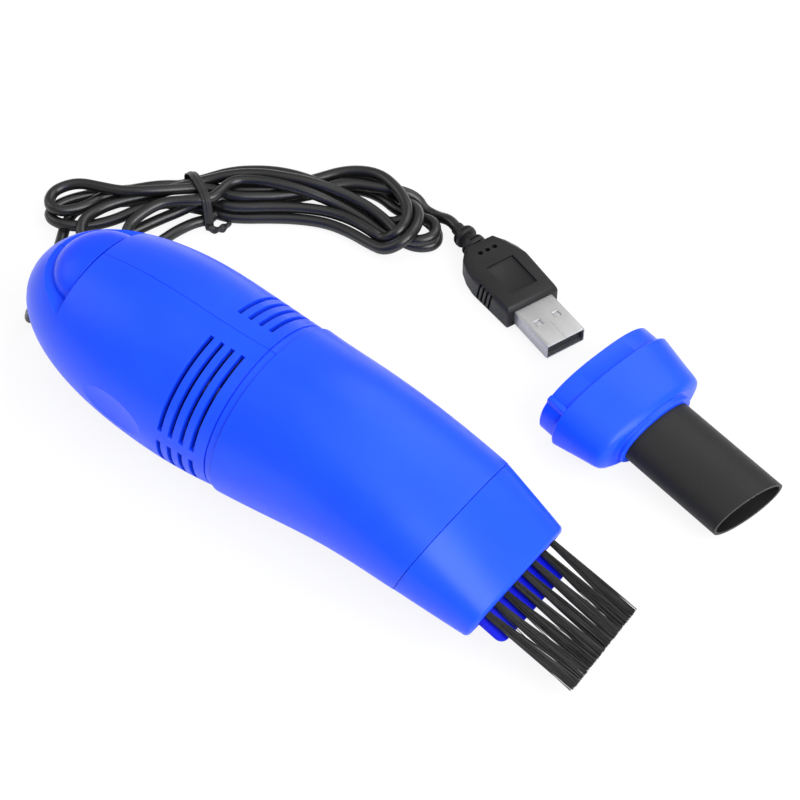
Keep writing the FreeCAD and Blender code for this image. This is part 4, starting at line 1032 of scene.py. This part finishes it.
def make_usb_shell():
    """Folded metal shell: open mouth, rounded corners, two pressed windows a side and a seam."""
    shell = block("usb_sleeve", (SHELL_BACK_X, -SHELL_HALF_WIDTH, -SHELL_HALF_HEIGHT),
                  (SHELL_FRONT_X, SHELL_HALF_WIDTH, SHELL_HALF_HEIGHT))
    take_up(shell)
    for place in (*WINDOW_X, MOUTH_X):
        cut_across(x=place)
    for place in (-WINDOW_Y[1], -WINDOW_Y[0], *WINDOW_Y):
        cut_across(y=place)
    pick(shell, "FACE", lambda spot: spot.x > SHELL_FRONT_X - 0.01)
    bpy.ops.mesh.delete(type="FACE")
    pick(shell, "FACE", lambda spot: WINDOW_X[0] < spot.x < WINDOW_X[1]
         and WINDOW_Y[0] < abs(spot.y) < WINDOW_Y[1] and abs(spot.z) > SHELL_HALF_HEIGHT - 0.1)
    bpy.ops.mesh.inset(thickness=WINDOW_EDGE * MM, depth=0)
    bpy.ops.mesh.inset(thickness=WINDOW_BEND * MM, depth=-WINDOW_DEPTH * MM)
    pick(shell, "VERT", lambda spot: spot.x > SHELL_FRONT_X - 0.1)
    swell(MOUTH_DRAW, (SHELL_FRONT_X, 0, 0))
    soften(shell, 0.3, 3, 60)
    work_in(shell, "SOLIDIFY", thickness=SHEET_THICKNESS * MM, offset=1)
    soften(shell, 0.07, 2, 50)
    carve(shell, block("seam", SEAM_LOW, SEAM_HIGH), block("joint", JOINT_LOW, JOINT_HIGH))
    set_down(shell, PLUG, 30)
    return dress(shell, "usb_steel", "vacuum_body", "usb_shell")


plug_body = make_overmould()
plug_sleeve = make_relief()
usb_sleeve = make_usb_shell()

# ---------------------------------------------------------------- gland

# Rings of the gland from inside the tail to its tip: place and radius
GLAND_RINGS = [
    (-1.4, 3.4), (0.0, 3.4), (0.05, 2.45), (5.7, 2.45), (5.9, 2.5), (6.6, 2.5), (6.8, 2.15),
    (7.2, 2.15), (7.4, 2.42), (8.0, 2.4), (8.2, 2.05), (8.6, 2.05), (8.8, 2.3), (9.4, 2.28),
    (9.8, 2.0), (GLAND_LENGTH, 1.7),
]


def make_gland():
    """Rubber gland behind the tail: a ribbed sleeve that tapers on to the lead."""
    gland = turned_piece("lead_gland", GLAND_RINGS)
    soften(gland, 0.12, 2, 30)
    aim = GLAND_AIM.to_track_quat("X", "Z").to_matrix().to_4x4()
    set_down(gland, Matrix.Translation(GLAND_AT * MM) @ aim, 40)
    return dress(gland, "black_rubber", "vacuum_body", "strain_relief")


make_gland()

# ---------------------------------------------------------------- floor and light

FLOOR_SIZE = 6
# How much of the floor's own glow the camera sees
FLOOR_GLOW = 0.88
SKY_STRENGTH = 0.5
# Softboxes, all aimed at the middle of the floor: place, width and height, power
LAMPS = {
    "key softbox": ((0.10, 0.75, 0.85), (0.9, 0.7), 4),
    "top softbox": ((0.05, -0.1, 1.1), (1.0, 1.0), 2.5),
    "front softbox": ((0.85, -0.15, 0.75), (0.8, 0.8), 14),
    "side softbox": ((-0.8, -0.3, 0.6), (0.6, 0.6), 1.5),
}


def make_floor():
    """Plain white floor that takes faint shadows and stays white to its edge."""
    bpy.ops.mesh.primitive_plane_add(size=FLOOR_SIZE)
    floor = bpy.context.object
    floor.name = "studio_floor"
    finish, nodes, links, shader, _ = new_finish("white floor")
    shader.inputs["Base Color"].default_value = (*grey(0.9), 1)
    shader.inputs["Roughness"].default_value = 0.9
    glow = nodes.new("ShaderNodeEmission")
    glow.inputs["Strength"].default_value = 1.0
    ray = nodes.new("ShaderNodeLightPath")
    seen = nodes.new("ShaderNodeMath")
    seen.operation = "MAXIMUM"
    links.new(ray.outputs["Is Camera Ray"], seen.inputs[0])
    links.new(ray.outputs["Is Transmission Ray"], seen.inputs[1])
    share = nodes.new("ShaderNodeMath")
    share.operation = "MULTIPLY"
    share.inputs[1].default_value = FLOOR_GLOW
    links.new(seen.outputs[0], share.inputs[0])
    mix = nodes.new("ShaderNodeMixShader")
    links.new(share.outputs[0], mix.inputs["Fac"])
    links.new(shader.outputs["BSDF"], mix.inputs[1])
    links.new(glow.outputs["Emission"], mix.inputs[2])
    links.new(mix.outputs["Shader"], nodes["Material Output"].inputs["Surface"])
    floor.data.materials.append(finish)


def make_world():
    """White surroundings: full white to the camera, dimmer as light on the pieces."""
    world = bpy.data.worlds.new("studio")
    bpy.context.scene.world = world
    world.use_nodes = True
    nodes, links = world.node_tree.nodes, world.node_tree.links
    sky = nodes["Background"]
    sky.inputs["Color"].default_value = (*grey(1), 1)
    sky.inputs["Strength"].default_value = SKY_STRENGTH
    white = nodes.new("ShaderNodeBackground")
    white.inputs["Strength"].default_value = 1.0
    ray = nodes.new("ShaderNodeLightPath")
    mix = nodes.new("ShaderNodeMixShader")
    links.new(ray.outputs["Is Camera Ray"], mix.inputs["Fac"])
    links.new(sky.outputs["Background"], mix.inputs[1])
    links.new(white.outputs["Background"], mix.inputs[2])
    links.new(mix.outputs["Shader"], nodes["World Output"].inputs["Surface"])


def make_lamp(name, place, size, power):
    """Softbox that is aimed at the middle of the floor."""
    bpy.ops.object.light_add(type="AREA", location=place)
    lamp = bpy.context.object
    lamp.name = name
    lamp.data.shape = "RECTANGLE"
    lamp.data.size, lamp.data.size_y = size
    lamp.data.energy = power
    lamp.rotation_euler = (-Vector(place)).to_track_quat("-Z", "Y").to_euler()


make_floor()
make_world()
for lamp_name, lamp in LAMPS.items():
    make_lamp(lamp_name, *lamp)
bpy.context.scene.view_settings.view_transform = "Standard"

bpy.context.view_layer.update()
